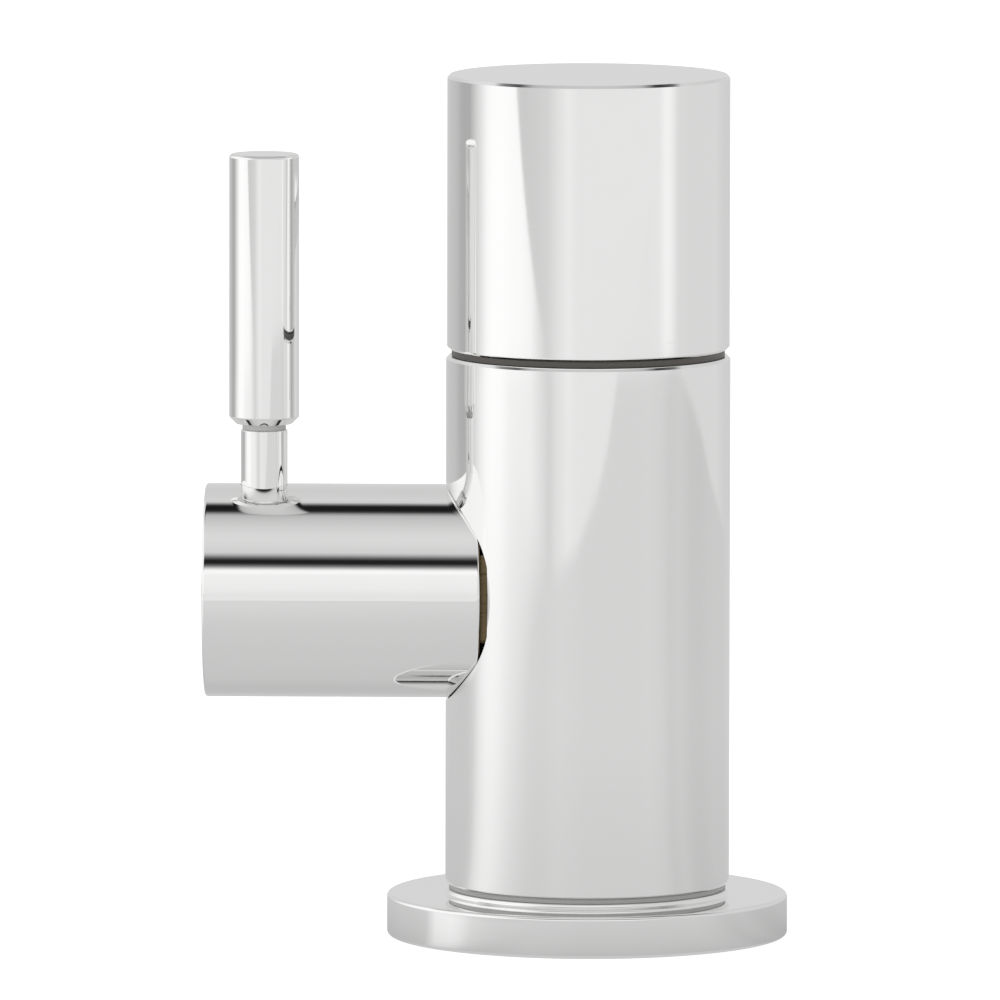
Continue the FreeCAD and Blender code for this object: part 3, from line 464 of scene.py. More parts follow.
def welded(patches):
    """Shared points, a normal for every point of the patches, faces and their finish."""
    points, normals, quads, finishes, start = [], [], [], [], 0
    for grid, grid_normals, *rest in patches:
        if len(rest) == 2:
            quads.append(rest[1] + start)
        else:
            index = np.arange(grid.shape[0] * grid.shape[1]).reshape(grid.shape[:2]) + start
            quads.append(np.stack([index[:-1, :-1], index[:-1, 1:], index[1:, 1:], index[1:, :-1]],
                                  axis=-1).reshape(-1, 4))
        points.append(grid.reshape(-1, 3))
        normals.append(grid_normals.reshape(-1, 3))
        finishes += [rest[0] if rest else 0] * len(quads[-1])
        start += len(points[-1])
    points, normals, quads = (np.concatenate(part) for part in (points, normals, quads))
    across = np.cross(points[quads[:, 2]] - points[quads[:, 0]],
                      points[quads[:, 3]] - points[quads[:, 1]])
    inside_out = np.einsum("ij,ij->i", across, normals[quads].sum(axis=1)) < 0
    quads[inside_out] = quads[inside_out][:, ::-1]
    merged, shared = np.unique(np.round(points / WELD).astype(np.int64), axis=0,
                               return_inverse=True)
    shared = shared.reshape(-1)
    first = np.zeros(len(merged), dtype=np.int64)
    first[shared] = np.arange(len(points))
    return points[first], normals, quads, shared, finishes


def placed(name, data):
    """A new object of the scene, at the origin."""
    made = bpy.data.objects.new(name, data)
    bpy.context.scene.collection.objects.link(made)
    return made


def piece(name, body, slot, patches, origin=(0, 0, 0), matrix=np.eye(3), finish=None, second=None):
    """A finished piece: its mesh, its body, its material slot and the CAD node it stands for."""
    points, normals, quads, shared, finishes = welded(moved(patches, matrix, origin))
    faces, corner_normals, worn = [], [], []
    for quad, number in zip(quads, finishes):
        kept = [k for k in range(4) if shared[quad[k]] != shared[quad[k - 1]]]
        if len(kept) < 3 or len({int(shared[quad[k]]) for k in kept}) < 3:
            continue
        faces.append([int(shared[quad[k]]) for k in kept])
        corner_normals += [normals[quad[k]] for k in kept]
        worn.append(number)
    mesh = bpy.data.meshes.new(name)
    mesh.from_pydata(points.tolist(), [], faces)
    mesh.polygons.foreach_set("use_smooth", [True] * len(faces))
    mesh.normals_split_custom_set([tuple(n) for n in corner_normals])
    mesh.update()
    made = placed(name + "_skin", mesh)
    mesh.materials.append(MATERIALS[finish or slot])
    if second:
        mesh.materials.append(MATERIALS[second])
        mesh.polygons.foreach_set("material_index", worn)
    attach(made, body)
    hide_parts(name)
    REPLACED.add(name)
    return made


# Materials.

class Number:
    """A value that varies over a surface. Arithmetic on it adds Math nodes."""

    def __init__(self, shader, socket):
        self.shader = shader
        self.socket = socket

    def math(self, operation, *others):
        inputs = {i: value for i, value in enumerate((self,) + others)}
        return self.shader.node("Math", {"operation": operation}, inputs)

    def __add__(self, other):
        return self.math("ADD", other)

    __radd__ = __add__

    def __sub__(self, other):
        return self.math("SUBTRACT", other)

    def __mul__(self, other):
        return self.math("MULTIPLY", other)

    def __neg__(self):
        return self * -1.0

    def __truediv__(self, other):
        return self.math("DIVIDE", other)

    def above(self, limit, softness):
        """0 below a limit and 1 above it, with a soft step between."""
        settings = {"interpolation_type": "SMOOTHSTEP"}
        inputs = {"Value": self, "From Min": limit - softness, "From Max": limit + softness}
        return self.shader.node("MapRange", settings, inputs)


class Shader:
    """The nodes of one material, or of the world."""

    def __init__(self, owner):
        owner.use_nodes = True
        self.tree = owner.node_tree
        self.tree.nodes.clear()

    def node(self, kind, settings=None, inputs=None, output=0):
        """Adds a node with its settings and inputs, and returns one of its outputs."""
        made = self.tree.nodes.new("ShaderNode" + kind)
        for name, value in (settings or {}).items():
            setattr(made, name, value)
        for name, value in (inputs or {}).items():
            if isinstance(value, Number):
                self.tree.links.new(value.socket, made.inputs[name])
            else:
                made.inputs[name].default_value = value
        return Number(self, made.outputs[output]) if made.outputs else made

    def mixed(self, share, first, second, way="MIX"):
        """A colour between two, by a share, or another way to mix them."""
        settings = {"data_type": "RGBA", "blend_type": way}
        return self.node("Mix", settings, {0: share, 6: first, 7: second}, 2)

    def coordinates(self, kind):
        """The x, y and z of a texture coordinate."""
        place = self.node("TexCoord", None, None, kind)
        split = self.node("SeparateXYZ", None, {"Vector": place})
        return [Number(self, socket) for socket in split.socket.node.outputs]

    def ramp(self, stops, value):
        """The level of a ramp at a value from 0 to 1."""
        shown = self.node("ValToRGB", None, {"Fac": value})
        elements = shown.socket.node.color_ramp.elements
        while len(elements) < len(stops):
            elements.new(1.0)
        for element, (place, grey) in zip(elements, stops):
            element.position = place
            element.color = (grey, grey, grey, 1.0)
        return shown

    def noise(self, scale, detail):
        """Noise in Object coordinates, with a scale along each axis."""
        place = self.node("TexCoord", None, None, "Object")
        place = self.node("Mapping", None, {"Vector": place, "Scale": scale})
        return self.node("TexNoise", None, {"Vector": place, "Scale": 1.0, "Detail": detail})


# Scales of the patches and scratches, and the colour left where a patch is darkest.
BROAD, SCRATCHED = (90.0, 90.0, 90.0), (260.0, 260.0, 4200.0)
PATCH_SHADE = 0.82


def finish(name, colour, metallic, roughness, uneven, grain, relief, tint):
    """A surface whose roughness, colour and relief vary finely.

    uneven: spread of the roughness. grain: scale of the fine pattern along each axis.
    relief: depth of the fine pattern. tint: how far the colour darkens in patches.
    """
    material = bpy.data.materials.new(name)
    shader = Shader(material)
    fine = shader.noise(grain, 4.0)
    broad = shader.noise(BROAD, 2.0)
    scratches = shader.noise(SCRATCHED, 1.0)
    rough = roughness + (broad - 0.5) * uneven + scratches.above(0.66, 0.04) * uneven
    darker = tuple(channel * PATCH_SHADE for channel in colour)
    shade = shader.mixed(broad * tint, (*colour, 1.0), (*darker, 1.0))
    bump = shader.node("Bump", None, {"Strength": 1.0, "Distance": relief, "Height": fine})
    surface = shader.node("BsdfPrincipled", None, {
        "Base Color": shade, "Roughness": rough, "Normal": bump, "Metallic": metallic,
    })
    shader.node("OutputMaterial", None, {"Surface": surface})
    return material


BRASS = (0.78, 0.60, 0.33)
UPRIGHT_RINGS, SIDE_RINGS = (60.0, 60.0, 5200.0), (5200.0, 60.0, 60.0)
# Colour, metallic, roughness, its spread, the grain's scale, its depth and the patches' tint.
MATERIALS = {name: finish(name, *look) for name, look in {
    "chrome_plate": ((0.92, 0.92, 0.915), 1.0, 0.035, 0.02, (700.0,) * 3, 0.4e-6, 0.1),
    "raw_brass": (BRASS, 1.0, 0.24, 0.1, UPRIGHT_RINGS, 3e-6, 0.35),
    "side_brass": (BRASS, 1.0, 0.24, 0.1, SIDE_RINGS, 3e-6, 0.35),
    # Brass darkened to a third: painted shade for the hollows seen through the pocket's gap.
    "painted_shade_brass": ((0.26, 0.198, 0.11), 1.0, 0.36, 0.15, SIDE_RINGS, 3e-6, 0.4),
    # The grey finish colours the foot seal, and paints shade on the ring under the lever's grip.
    "grey_polymer_and_painted_shade": ((0.5, 0.495, 0.49), 0.0, 0.42, 0.1, (1100.0,) * 3, 5e-6, 0.3),
    "black_rubber": ((0.022, 0.021, 0.02), 0.0, 0.55, 0.12, (1500.0,) * 3, 8e-6, 0.4),
    "dark_polymer": ((0.085, 0.078, 0.07), 0.0, 0.42, 0.1, (1100.0,) * 3, 5e-6, 0.3),
    "white_ceramic": ((0.86, 0.85, 0.82), 0.0, 0.12, 0.05, (900.0,) * 3, 1e-6, 0.2),
    "stainless_steel": ((0.62, 0.61, 0.6), 1.0, 0.2, 0.1, (200.0, 200.0, 3000.0), 2e-6, 0.3),
    "zinc_steel": ((0.70, 0.70, 0.69), 1.0, 0.3, 0.12, (900.0,) * 3, 4e-6, 0.5),
}.items()}


# Pieces of the body root.

def base_flange():
    """The deck flange: rounded rims, a low collar, and the gasket's recess below."""
    inner, outer, depth = gasket_recess
    return turned([
        (flange_bore, 0), (inner, 0), (inner, depth), (outer, depth), (outer, 0),
        (flange_radius, 0, flange_rounding), (flange_radius, flange_height, flange_rounding),
        (body_radius, flange_height, collar_cove), (body_radius, collar_top, 0.15 * MM),
        (flange_bore, collar_top),
    ], full_turn(192))


def plain_ring(node, inner, eased):
    """A ring as high as its node, with its outer rims eased."""
    low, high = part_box(node)
    return turned([(inner, low.z), (high.x, low.z, eased), (high.x, high.z, eased),
                   (inner, high.z)], full_turn(128))


def deck_gasket():
    """The soft ring in the flange's recess, with three grooves in its underside."""
    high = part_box("deck_gasket")[1]
    inner, outer, groove, eased = 16.0 * MM, high.x, 0.35 * MM, 0.2 * MM
    points = [(inner, high.z), (inner, 0, eased)]
    for middle in (17.75 * MM, 19.5 * MM, 21.25 * MM):
        points += [(middle - groove, 0), (middle, groove), (middle + groove, 0)]
    return turned(points + [(outer, 0, eased), (outer, high.z)], full_turn(128))


def valve_body():
    """The upright body, with the hub's pocket in its side, its bores above and a plain tenon
    below.
    """
    rim, tenon, ring_seat, spigot_bore = body_radius - edge, 13.0 * MM, 10.65 * MM, 8.05 * MM
    ring_floor, spigot_floor = body_top - 1.0 * MM, body_top - 12.0 * MM
    # The pocket's inside wears the second finish, dark brass as painted shade in its gap.
    pocket = bore_at(180, 64, 49, axis_height, [
        (pocket_radius, pocket_floor), (headpart_bore, pocket_floor),
        (headpart_bore, seat_place), (0.0, seat_place),
    ], rounding=0.3 * MM, inside_painted_shade=True)
    wall, around = wall_with_bores(body_radius, body_foot + edge, body_top - edge, [pocket], 41)
    foot = [(0, body_bottom), (tenon, body_bottom, 0.5 * MM), (tenon, body_foot),
            (rim, body_foot), (body_radius, body_foot + edge)]
    top = [(body_radius, body_top - edge), (rim, body_top), (ring_seat, body_top),
           (ring_seat, ring_floor), (spigot_bore, ring_floor), (spigot_bore, spigot_floor),
           (0, spigot_floor)]
    return wall + opened(around, foot, top)


def swivel_head():
    """The head: a plain cylinder with a blind bore, the spout's socket and the stop screw."""
    rim, bore, bore_top = head_radius - edge, 9.0 * MM, head_top - 8.5 * MM
    chamber, half = 11.0 * MM, 3.2 * MM
    chamber_low, chamber_high = spout_height - half, spout_height + half
    water, water_end = 3.0 * MM, 11.1 * MM
    socket = bore_at(90, 33, 33, spout_height, [
        (tube_radius + fit, tube_start), (water, tube_start), (water, water_end),
        (0.0, water_end)])
    screw = bore_at(stop_angle, 7, 9, stop_height, [(screw_hole, stop_seat), (0.0, stop_seat)])
    wall, around = wall_with_bores(head_radius, head_bottom + edge, head_top - edge,
                                   [socket, screw], 33)
    foot = [(bore, head_bottom), (rim, head_bottom), (head_radius, head_bottom + edge)]
    top = [(head_radius, head_top - edge), (rim, head_top), (0, head_top)]
    hollow = [(0, bore_top), (bore, bore_top), (bore, chamber_high), (chamber, chamber_high),
              (chamber, chamber_low), (bore, chamber_low), (bore, head_bottom)]
    return wall + opened(around, foot, top, hollow)


# Pieces of the clamp.

def fixing_stud():
    """An M8 stud: a thread of pitch 1.25 mm and, at its foot, a plain end with a slot."""
    low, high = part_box("fixing_stud")
    radius, core, pitch = (high.x - low.x) / 2, 3.25 * MM, 1.25 * MM
    half, depth, plain = 0.665 * MM, 2.0 * MM, 2.6 * MM
    rise = np.linspace(-half, half, 5)
    lean = math.asin(half / core)
    right = np.arcsin(rise / core)
    left = math.pi + right
    far = np.linspace(lean, math.pi - lean, 23)
    near = far + math.pi
    turns = np.concatenate([right, far[1:], left[1:], near[1:]])
    top, roof = low.z + plain, low.z + depth
    down = (0.0, 0.0, -1.0)

    def cheek(arc, side, height):
        """The slot's side, a straight line over the arc beside it."""
        return points_of(core * np.cos(arc), side * half, height)

    patches = threaded(radius, core, pitch, top, high.z, turns)
    for arc, side in ((far, 1.0), (near, -1.0)):
        patches += [
            plain_wall(core, (low.z, top), arc),
            strip(cheek(arc, side, low.z), cheek(arc, side, roof), (0, -side, 0)),
            strip(level_ring(core, arc, low.z), cheek(arc, side, low.z), down),
        ]
    for arc, side in ((right, 1.0), (left, -1.0)):
        chord = points_of(side * core * math.cos(lean), side * rise, roof)
        patches += [plain_wall(core, (roof, top), arc),
                    strip(level_ring(core, arc, roof), chord, down)]
    patches.append(facing(blended(cheek(far, 1.0, roof), cheek(near[::-1], -1.0, roof), 5), down))
    return patches + opened(turns, [(core, high.z), (0, high.z)])


def clamp_nut():
    """A hexagonal nut, its corners turned down: z = top - (r - start) tan 30 degrees."""
    low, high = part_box("clamp_nut")
    flat, bore, lead = (high.y - low.y) / 2, 4.05 * MM, 0.45 * MM
    start, bottom, top = flat * 0.96, low.z, high.z
    turns = full_turn(72)
    reach = hexagon_reach(flat, turns)
    drop = (reach - start) * math.tan(math.radians(30))
    sloped = level_ring(0.5, turns, 0.0)
    up = np.array([0.0, 0.0, math.sqrt(0.75)])
    lower, upper = level_ring(reach, turns, bottom + drop), level_ring(reach, turns, top - drop)
    patches = [strip(upper, level_ring(start, turns, top), sloped + up),
               strip(level_ring(start, turns, bottom), lower, sloped - up)]
    return patches + hexagon_sides(lower, upper, 1) + opened(turns, [
        (start, top), (bore + lead, top), (bore, top - lead), (bore, bottom + lead),
        (bore + lead, bottom), (start, bottom),
    ])


def horseshoe(node, eased):
    """The clamp disc, with an open slot for the hose and a hole for the stud."""
    low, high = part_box(node)
    reach, slot, slot_end, hole = high.y, 7.0 * MM, 6.5 * MM, 4.2 * MM
    tip = math.asin(slot / reach)
    spread = np.linspace(tip + math.radians(4), 2 * math.pi - tip - math.radians(4), 97)
    outward = points_of(np.cos(spread), np.sin(spread))
    back = np.linspace(-math.pi / 2, -3 * math.pi / 2, 37)
    hollow = -points_of(np.cos(back), np.sin(back))
    tip_place = np.array([reach * math.cos(tip), slot])
    upper = round_run((slot_end, slot), tip_place, reach * outward[0], 1.0 * MM)
    lower = round_run(reach * outward[-1], tip_place * (1, -1), (slot_end, -slot), 1.0 * MM)
    end = np.array([slot_end, 0.0]) - slot * hollow
    line = np.concatenate([reach * outward, lower[0], end, upper[0]])
    normals = np.concatenate([outward, lower[1], hollow, upper[1]])
    stud_hole = circle_loop(hole, stud_place, 0.0, hole=True)
    return plate([(line, normals, eased), (*stud_hole, eased)], low.z, high.z)


# Pieces of the body handle.

def handle_hub():
    """The side cylinder: hollow inner end, splined socket, lever seat and grub screw hole."""
    length, hollow_radius, spline = hub_outer_end - hub_inner_end, 11.5 * MM, 3.75 * MM
    spline_start, spline_end, screw_end = 11.92 * MM, 23.1 * MM, 4.2 * MM
    neck_seat, thread, thread_end = hub_radius - 1.2 * MM, 2.55 * MM, hub_radius - 9.2 * MM
    seat = bore_at(0, 24, 21, -lever_place - hub_inner_end, [
        (neck_radius + fit, neck_seat), (thread, neck_seat), (thread, thread_end),
        (0.0, thread_end)])
    screw = bore_at(180, 18, 15, 31.0 * MM - hub_inner_end, [
        (screw_hole, screw_end), (0.0, screw_end)])
    wall, around = wall_with_bores(hub_radius, hub_inner_rounding, length - hub_rounding,
                                   [seat, screw], 33)
    outer = [(hub_radius, length - hub_rounding), (hub_radius, length, hub_rounding),
             (0, length)]
    inner = [(hollow_radius, 0), (hub_radius, 0, hub_inner_rounding),
             (hub_radius, hub_inner_rounding)]
    hollow = [(0, spline_end), (spline, spline_end), (spline, spline_start),
              (hollow_radius, spline_start), (hollow_radius, 0)]
    # The hollow inner end wears the second finish, dark brass as painted shade.
    return wall + opened(around, outer, inner) + painted_shade_patches(opened(around, hollow))


def lever_stem():
    """The neck, its thread below, and a grey painted-shade ring under the grip, the tang above it.
    """
    low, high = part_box("lever_stem")
    turns, thread, tang = full_turn(96), 2.5 * MM, 2.2 * MM
    seat, neck_top = low.z + 7.0 * MM, high.z - 16.0 * MM
    shoulder, ring_radius = neck_top - 0.75 * MM, neck_radius - 0.2 * MM
    neck = [(0, low.z), (thread, low.z), (thread, seat), (neck_radius, seat),
            (neck_radius, shoulder, 0.1 * MM), (ring_radius, shoulder)]
    ring_and_tang = [(ring_radius, shoulder), (ring_radius, neck_top), (tang, neck_top),
                     (tang, high.z, 0.4 * MM), (0, high.z)]
    # The ring and the tang wear the second finish, grey as painted shade in the groove under the
    # grip.
    return opened(turns, neck) + painted_shade_patches(opened(turns, ring_and_tang))


def lever_grip():
    """The round grip, bored for the tang, its rims turned over small radii."""
    low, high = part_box("lever_grip")
    bore, bore_end, slope = 2.25 * MM, low.z + 17.0 * MM, 0.9 * MM
    return turned([
        (bore, low.z), (grip_radius - slope, low.z, 0.2 * MM),
        (grip_radius, low.z + slope, 0.3 * MM), (grip_radius, high.z, 0.45 * MM),
        (0, high.z), (0, bore_end), (bore, bore_end),
    ], full_turn(96))


def set_screw(low, high, tip):
    """An M4 set screw with a hexagonal socket below and a turned tip above."""
    turns, core = full_turn(48), 1.6 * MM
    return (threaded(2.0 * MM, core, 0.7 * MM, low, high, turns)
            + socket_face(1.15 * MM, 2.0 * MM, core, low, turns)
            + opened(turns, [(core, high)] + tip))


def hub_grub_screw():
    """The screw under the hub, with a cup point."""
    low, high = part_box("hub_grub_screw")
    return set_screw(low.z, high.z, [(1.0 * MM, high.z), (0, high.z - 0.5 * MM)])


# Pieces of the body spout.

def swivel_stop_screw():
    """The head's screw with a dog point, measured inward along its axis."""
    face, shoulder, dog, dog_end = -(head_radius - 2.42 * MM), -9.2 * MM, 1.1 * MM, -7.55 * MM
    return set_screw(face, shoulder, [(dog, shoulder), (dog, dog_end, 0.2 * MM), (0, dog_end)])


def aerator_insert():
    """The aerator: a thick disc with two circles of round holes."""
    low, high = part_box("aerator_insert")
    loops = [(*circle_loop(high.x), 0.3 * MM)]
    for count, circle in ((12, 5.04 * MM), (6, 2.8 * MM)):
        for turn in np.arange(count) * 2 * math.pi / count:
            hole = circle_loop(0.55 * MM, circle * math.cos(turn), circle * math.sin(turn),
                               20, hole=True)
            loops.append((*hole, 0.12 * MM))
    return plate(loops, low.z, high.z)


def tube_line():
    """The tube's centre line: straight out, a quarter bend, then down to its end.

    On the bend: y = start + R sin t and z = height - R (1 - cos t).
    """
    bend_start, bend_end = spout_reach - bend_radius, spout_height - bend_radius
    swing = np.linspace(0, math.pi / 2, 33)
    y = np.concatenate([np.linspace(tube_start, bend_start, 9)[:-1],
                        bend_start + bend_radius * np.sin(swing), [spout_reach] * 2])
    z = np.concatenate([[spout_height] * 8, spout_height - bend_radius * (1 - np.cos(swing)),
                        np.linspace(bend_end, tube_end, 3)[1:]])
    turn = np.concatenate([[0.0] * 8, swing, [math.pi / 2] * 2])
    return points_of(0.0, y, z), points_of(0.0, np.cos(turn), -np.sin(turn))


def spout_tube():
    """A round tube along its centre line, outside and inside, with flat ends."""
    centre, ahead = tube_line()
    turns = full_turn(96)
    outside = swept(centre, ahead, tube_radius, turns)
    inside = swept(centre, ahead, tube_radius - tube_wall, turns, inward=True)
    patches = [outside, inside]
    for end, way in ((0, -1.0), (-1, 1.0)):
        patches.append(facing(np.stack([outside[0][end], inside[0][end]]), ahead[end] * way))
    return patches


def spout_collar():
    """The ring round the tube. Its back follows the head's wall: depth = sqrt(R^2 - x^2)."""
    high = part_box("spout_collar")[1]
    outer, inner, wall, face = high.x, tube_radius + fit, head_radius + fit, high.y - 1.0 * MM
    turns = full_turn(128)
    front = opened(turns, [(outer, face), (outer, high.y, 0.5 * MM),
                           (inner, high.y, 0.15 * MM), (inner, face)])

    def back(radius):
        """The line where a cylinder of this radius meets the head's wall."""
        across = radius * np.cos(turns)
        return points_of(across, radius * np.sin(turns), np.sqrt(wall ** 2 - across ** 2))

    radial = level_ring(1.0, turns, 0.0)
    outside = facing(blended(back(outer), level_ring(outer, turns, face), 5), radial)
    inside = facing(blended(back(inner), level_ring(inner, turns, face), 5), -radial)
    seat = blended(back(inner), back(outer), 3)
    towards = -points_of(seat[..., 0], 0.0, seat[..., 2])
    return front + [outside, inside, (seat, towards / length_of(towards))]


def nozzle():
    """The outlet sleeve round the tube's end, with the aerator's recess below."""
    low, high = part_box("nozzle")
    outer, socket, aerator = (high.y - low.y) / 2, tube_radius + fit, 7.05 * MM
    floor, recess = low.z + 6.0 * MM, low.z + 4.8 * MM
    water = tube_radius - tube_wall
    return turned([
        (aerator, low.z, 0.2 * MM), (outer, low.z, 0.6 * MM), (outer, high.z, 0.5 * MM),
        (socket, high.z), (socket, floor), (water, floor), (water, recess), (aerator, recess),
    ], full_turn(96))


piece("base_flange", "root", "chrome_plate", base_flange())
piece("deck_gasket", "root", "black_rubber", deck_gasket())
piece("fixing_stud", "root", "zinc_steel", fixing_stud(), (stud_place, 0, 0))
piece("clamp_nut", "root", "raw_brass", clamp_nut(), (stud_place, 0, 0))
piece("clamp_plate", "root", "zinc_steel", horseshoe("clamp_plate", 0.25 * MM))
piece("clamp_rubber", "root", "black_rubber", horseshoe("clamp_rubber", 0.4 * MM))
piece("foot_seal", "root", "dark_polymer",
      plain_ring("foot_seal", corner("foot_seal", 1, "x") - 3.0 * MM, 0.12 * MM),
      finish="grey_polymer_and_painted_shade")
piece("lower_bearing_ring", "root", "dark_polymer",
      plain_ring("lower_bearing_ring", 9.15 * MM, 0.15 * MM))
piece("valve_body", "root", "chrome_plate", valve_body(), second="painted_shade_brass")
piece("handle_hub", "handle", "chrome_plate", handle_hub(),
      (-hub_inner_end, 0, axis_height), TO_THE_LEVER, second="painted_shade_brass")
piece("lever_stem", "handle", "chrome_plate", lever_stem(), (lever_place, 0, 0),
      second="grey_polymer_and_painted_shade")
piece("lever_grip", "handle", "chrome_plate", lever_grip(), (lever_place, 0, 0))
piece("hub_grub_screw", "handle", "stainless_steel", hub_grub_screw(), (grub_place, 0, 0))
piece("swivel_head", "spout", "chrome_plate", swivel_head())
piece("swivel_stop_screw", "spout", "stainless_steel", swivel_stop_screw(),
      (0, 0, stop_height), INTO_THE_HEAD)
piece("aerator_insert", "spout", "dark_polymer", aerator_insert(), outlet_centre)
piece("spout_tube", "spout", "chrome_plate", spout_tube())
piece("spout_collar", "spout", "chrome_plate", spout_collar(), (0, 0, spout_height), BACKWARD)
piece("nozzle", "spout", "chrome_plate", nozzle(), outlet_centre)

FINISH_OF = {entry["node"]: entry["material_slot"] for entry in frame["record"]["subparts"]}
# The cartridge housing wears the brass darkened as painted shade; the spindle is plain brass.
FINISH_OF.update({"cartridge_housing": "painted_shade_brass", "valve_spindle": "side_brass"})
for name, node in frame["nodes"].items():
    if name in REPLACED:
        continue
    for slot in node.material_slots:
        slot.material = MATERIALS[FINISH_OF[name]]


# The studio.

MIRRORED = 0.92        # share of the light that the polished metal gives back


def level(tone):
    """The light level of a tone from 0 to 255 on the screen, as the polished metal shows it."""
    c = tone / 255
    seen = c / 12.92 if c <= 0.04045 else ((c + 0.055) / 1.055) ** 2.4
    return seen / MIRRORED


def by_direction(stops, shown=level):
    """Ramp stops round the column, by degrees: 0 is the front and 90 the right."""
    return [(0.5 + turn / 360, shown(value)) for turn, value in stops]


# From 60 degrees on, the sheets are the same at every distance but close by.
RIGHT = ((60, 230), (67, 243), (72, 238), (79, 218), (92, 215), (127, 215), (140, 208),
         (158, 203))
# Light and grey sheets round the faucet, in tones by direction. The near sheet ends at
# NEAR_LIMIT metres, over NEAR_SPREAD metres. To the left, the white sheet ends at WHITE_EDGE.
NEAR_TONES = by_direction((
    (-180, 204), (-158, 200), (-140, 201), (-128, 202), (-117, 202), (-108, 204), (-102, 211),
    (-97, 226), (-92, 236), (-86, 243), (-79, 243), (-72, 238), (-63, 228), (-54, 220),
    (-45, 214), (-36, 212), (-20, 215), (0, 212), (40, 212), (51, 213), (62, 210), (70, 204),
    (80, 206), (92, 200), (103, 199), (117, 202), (140, 202), (180, 206),
))
MIDDLE_TONES = by_direction((
    (-180, 214), (-158, 196), (-142, 192), (-134, 189), (-127, 177), (-121, 172), (-112, 177),
    (-104, 213), (-96, 237), (-89, 251), (-82, 254), (-73, 252), (-65, 243), (-55, 240),
    (-46, 238), (-38, 225), (-30, 211), (-24, 223), (-15, 233), (-7, 229), (51, 228),
) + RIGHT)
# The same past HEAD_REACH metres, where the swivelling head sees it.
HEAD_REACH = 0.74
HEAD_TONES = by_direction((
    (-180, 214), (-158, 196), (-142, 191), (-134, 187), (-127, 176), (-121, 172), (-112, 172),
    (-104, 205), (-96, 229), (-90, 247), (-84, 254), (-74, 255), (-64, 252), (-55, 251),
    (-46, 245), (-40, 228), (-33, 211), (-24, 224), (-15, 233), (-7, 229), (51, 228),
) + RIGHT)
FAR_TONES = by_direction((
    (-180, 214), (-158, 196), (-142, 190), (-128, 176), (-118, 172), (-112, 172), (-104, 200),
    (-96, 228), (-89, 252), (-78, 252), (-69, 250), (-62, 215), (-55, 202), (-41, 207), (-32, 211),
    (-24, 224), (-15, 235), (-7, 229), (51, 229),
) + RIGHT)
NEAR_LIMIT = by_direction((
    (-180, 0.42), (-60, 0.42), (-44, 0.44), (-24, 0.44), (-8, 0.47), (8.5, 0.55), (17, 0.62),
    (25, 0.735), (76, 0.75), (104, 0.633), (118, 0.554), (128, 0.522), (141, 0.483), (180, 0.43),
), float)
NEAR_SPREAD = by_direction((
    (-180, 0.5), (-56, 0.55), (-40, 0.16), (-24, 0.05), (0, 0.03), (180, 0.03),
), float)
WHITE_EDGE = 0.655
# Painted shade on the mirrored floor: how much light is left close to the foot, by the distance
# over SHADE_REACH.
SHADE_REACH = 0.3
FOOT_SHADE = [(0.083, 0.70), (0.103, 0.78), (0.133, 0.835), (0.183, 0.89), (0.24, 0.925),
              (0.4, 0.945), (0.6, 0.975), (0.85, 1.0)]
# Tones close to the flange's left, by direction from RIM_SIDE, out to RIM_REACH from the column.
RIM_SIDE = (-0.0098, -0.0174)
RIM_REACH = 0.058
RIM_TONES = by_direction((
    (-180, 206), (-150, 208), (-128, 212), (-112, 213), (-104, 217), (-96, 250), (-84, 254),
    (-76, 248), (-66, 230), (-54, 222), (-40, 218), (0, 212), (180, 212),
))
# Tones of the plain paper, with painted shade close behind the column, from PLAIN_START metres in
# front of the column, over PLAIN_DEPTH.
PLAIN_START, PLAIN_DEPTH = 0.40, 0.46
PLAIN_TONES = [((depth + PLAIN_START) / PLAIN_DEPTH, level(tone)) for depth, tone in (
    (-0.40, 215), (-0.13, 208), (-0.05, 202), (-0.02, 199), (0.0, 196), (0.013, 188),
    (0.03, 188), (0.06, 200),
)]


def mirrored_floor(shader):
    """The floor as polished metal mirrors it.

    Rays that graze it see the sheets, by their direction from the column, with painted shade near
    the foot.
    Steep rays see the plain grey paper, with painted shade close behind the faucet.
    """
    x, y, _ = shader.coordinates("Object")
    distance = (x * x + y * y).math("SQRT")
    turn = x.math("ARCTAN2", -y) / (2 * math.pi) + 0.5
    near, middle, head, far, limit, spread = (
        shader.ramp(stops, turn) for stops in
        (NEAR_TONES, MIDDLE_TONES, HEAD_TONES, FAR_TONES, NEAR_LIMIT, NEAR_SPREAD))
    middle = shader.mixed(distance.above(HEAD_REACH, 0.05), middle, head)
    outer = shader.mixed((-y).above(WHITE_EDGE, 0.012), middle, far)
    grazed = shader.mixed(((distance - limit) / spread).above(0.0, 0.5), near, outer)
    beside = (x - RIM_SIDE[0]).math("ARCTAN2", -(y - RIM_SIDE[1])) / (2 * math.pi) + 0.5
    rim = shader.ramp(RIM_TONES, beside)
    at_rim = (-x).above(0.02, 0.008) * (-distance).above(-RIM_REACH, 0.005)
    grazed = shader.mixed(at_rim, grazed, rim)
    shade = shader.ramp(FOOT_SHADE, distance / SHADE_REACH)
    grazed = shader.mixed(1.0, grazed, shade, "MULTIPLY")
    plain = shader.ramp(PLAIN_TONES, (y + PLAIN_START) / PLAIN_DEPTH)
    grazing = shader.node("LayerWeight", None, {"Blend": 0.5}, "Facing")
    return shader.mixed(grazing.above(0.6, 0.16), plain, grazed)


FLOOR_GLOW = 0.62      # what the floor adds to the light it gets, so that it shows white


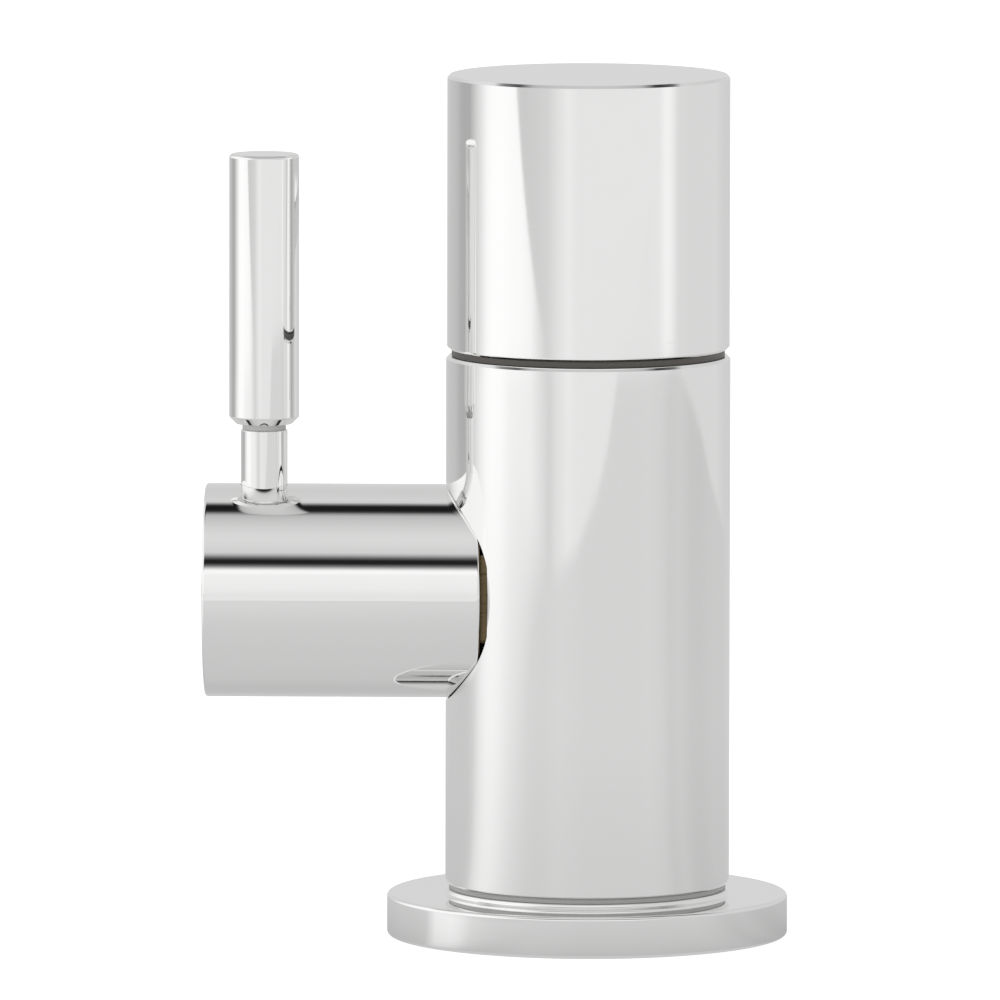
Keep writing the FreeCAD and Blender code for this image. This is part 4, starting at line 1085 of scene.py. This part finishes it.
def floor():
    """A wide pale floor that shows the object's shadow, and its sheets to polished metal."""
    size = 4.0
    mesh = bpy.data.meshes.new("studio_floor")
    mesh.from_pydata([(-size, -size, 0), (size, -size, 0), (size, size, 0), (-size, size, 0)],
                     [], [(0, 1, 2, 3)])
    made = placed("studio_floor", mesh)
    made.location.z = -0.02 * MM
    material = bpy.data.materials.new("studio_floor")
    mesh.materials.append(material)
    shader = Shader(material)
    mirrored = shader.node("Emission", None, {"Color": mirrored_floor(shader), "Strength": 1.0})
    plain = shader.node("BsdfDiffuse", None, {"Color": (0.9, 0.9, 0.9, 1)})
    white = shader.node("Emission", None, {"Color": (1, 1, 1, 1), "Strength": FLOOR_GLOW})
    seen = shader.node("AddShader", None, {0: white, 1: plain})
    path = shader.node("LightPath", None, None, "Is Glossy Ray")
    both = shader.node("MixShader", None, {0: path, 1: seen, 2: mirrored})
    shader.node("OutputMaterial", None, {"Surface": both})


SIDE_LIMIT, SIDE_SOFTNESS = 0.62, 0.2
LEFT_TONE, RIGHT_TONE = 251, 210
# Tones overhead, by the angle over the horizon from the front (0) to the back (180).
# The two dark stretches are the gaps beside the lamp's hood.
OVER = [(turn / 180, level(tone)) for turn, tone in (
    (0, 228), (8, 236), (22, 240), (25.5, 250), (27.5, 243), (29.5, 195), (31.8, 118),
    (34.5, 42), (37, 26), (39, 45), (41.5, 110), (44, 168), (47, 206), (55, 214), (62, 217),
    (69, 215), (79, 206), (88, 195), (94, 182), (97, 140), (100, 62), (102.5, 28), (108.5, 26),
    (110.5, 58), (113, 130), (116.5, 205), (121, 210), (128, 206), (145, 203), (178, 210),
)]


def studio_world():
    """The tent round the faucet: white to the left, grey to the right, and tones overhead."""
    world = bpy.data.worlds.new("studio")
    bpy.context.scene.world = world
    shader = Shader(world)
    x, y, z = shader.coordinates("Generated")
    climb = z.math("ARCTAN2", -y) / math.pi
    over = shader.ramp(OVER, climb)
    sides = over
    for out, tone in ((-x, LEFT_TONE), (x, RIGHT_TONE)):
        share = out.above(SIDE_LIMIT, SIDE_SOFTNESS)
        sides = shader.mixed(share, sides, (level(tone),) * 3 + (1,))
    path = shader.node("LightPath", None, None, "Is Camera Ray")
    shown = shader.mixed(path, sides, (1, 1, 1, 1))
    back = shader.node("Background", None, {"Color": shown, "Strength": 1.0})
    shader.node("OutputWorld", None, {"Surface": back})


floor()
studio_world()


# The camera.

def look():
    """The photograph's long view: nearly level, a little to the right of the front."""
    turn, distance, height = math.radians(1.458), 2182.5 * MM, 288.9 * MM
    aim = Vector((-10.97 * MM, 0, 54.41 * MM))
    place = Vector((aim.x + distance * math.sin(turn), -distance * math.cos(turn), height))
    camera = placed("camera", bpy.data.cameras.new("camera"))
    camera.data.sensor_width = 36.0
    camera.data.lens = 633.6
    camera.data.clip_start, camera.data.clip_end = 0.05, 50.0
    camera.location = place
    aimed = (aim - place).to_track_quat("-Z", "Y")
    roll = Matrix.Rotation(math.radians(0.095), 4, "Z")
    camera.rotation_mode = "QUATERNION"
    camera.rotation_quaternion = (aimed.to_matrix().to_4x4() @ roll).to_quaternion()
    bpy.context.scene.camera = camera


look()
bpy.context.scene.view_settings.view_transform = "Standard"
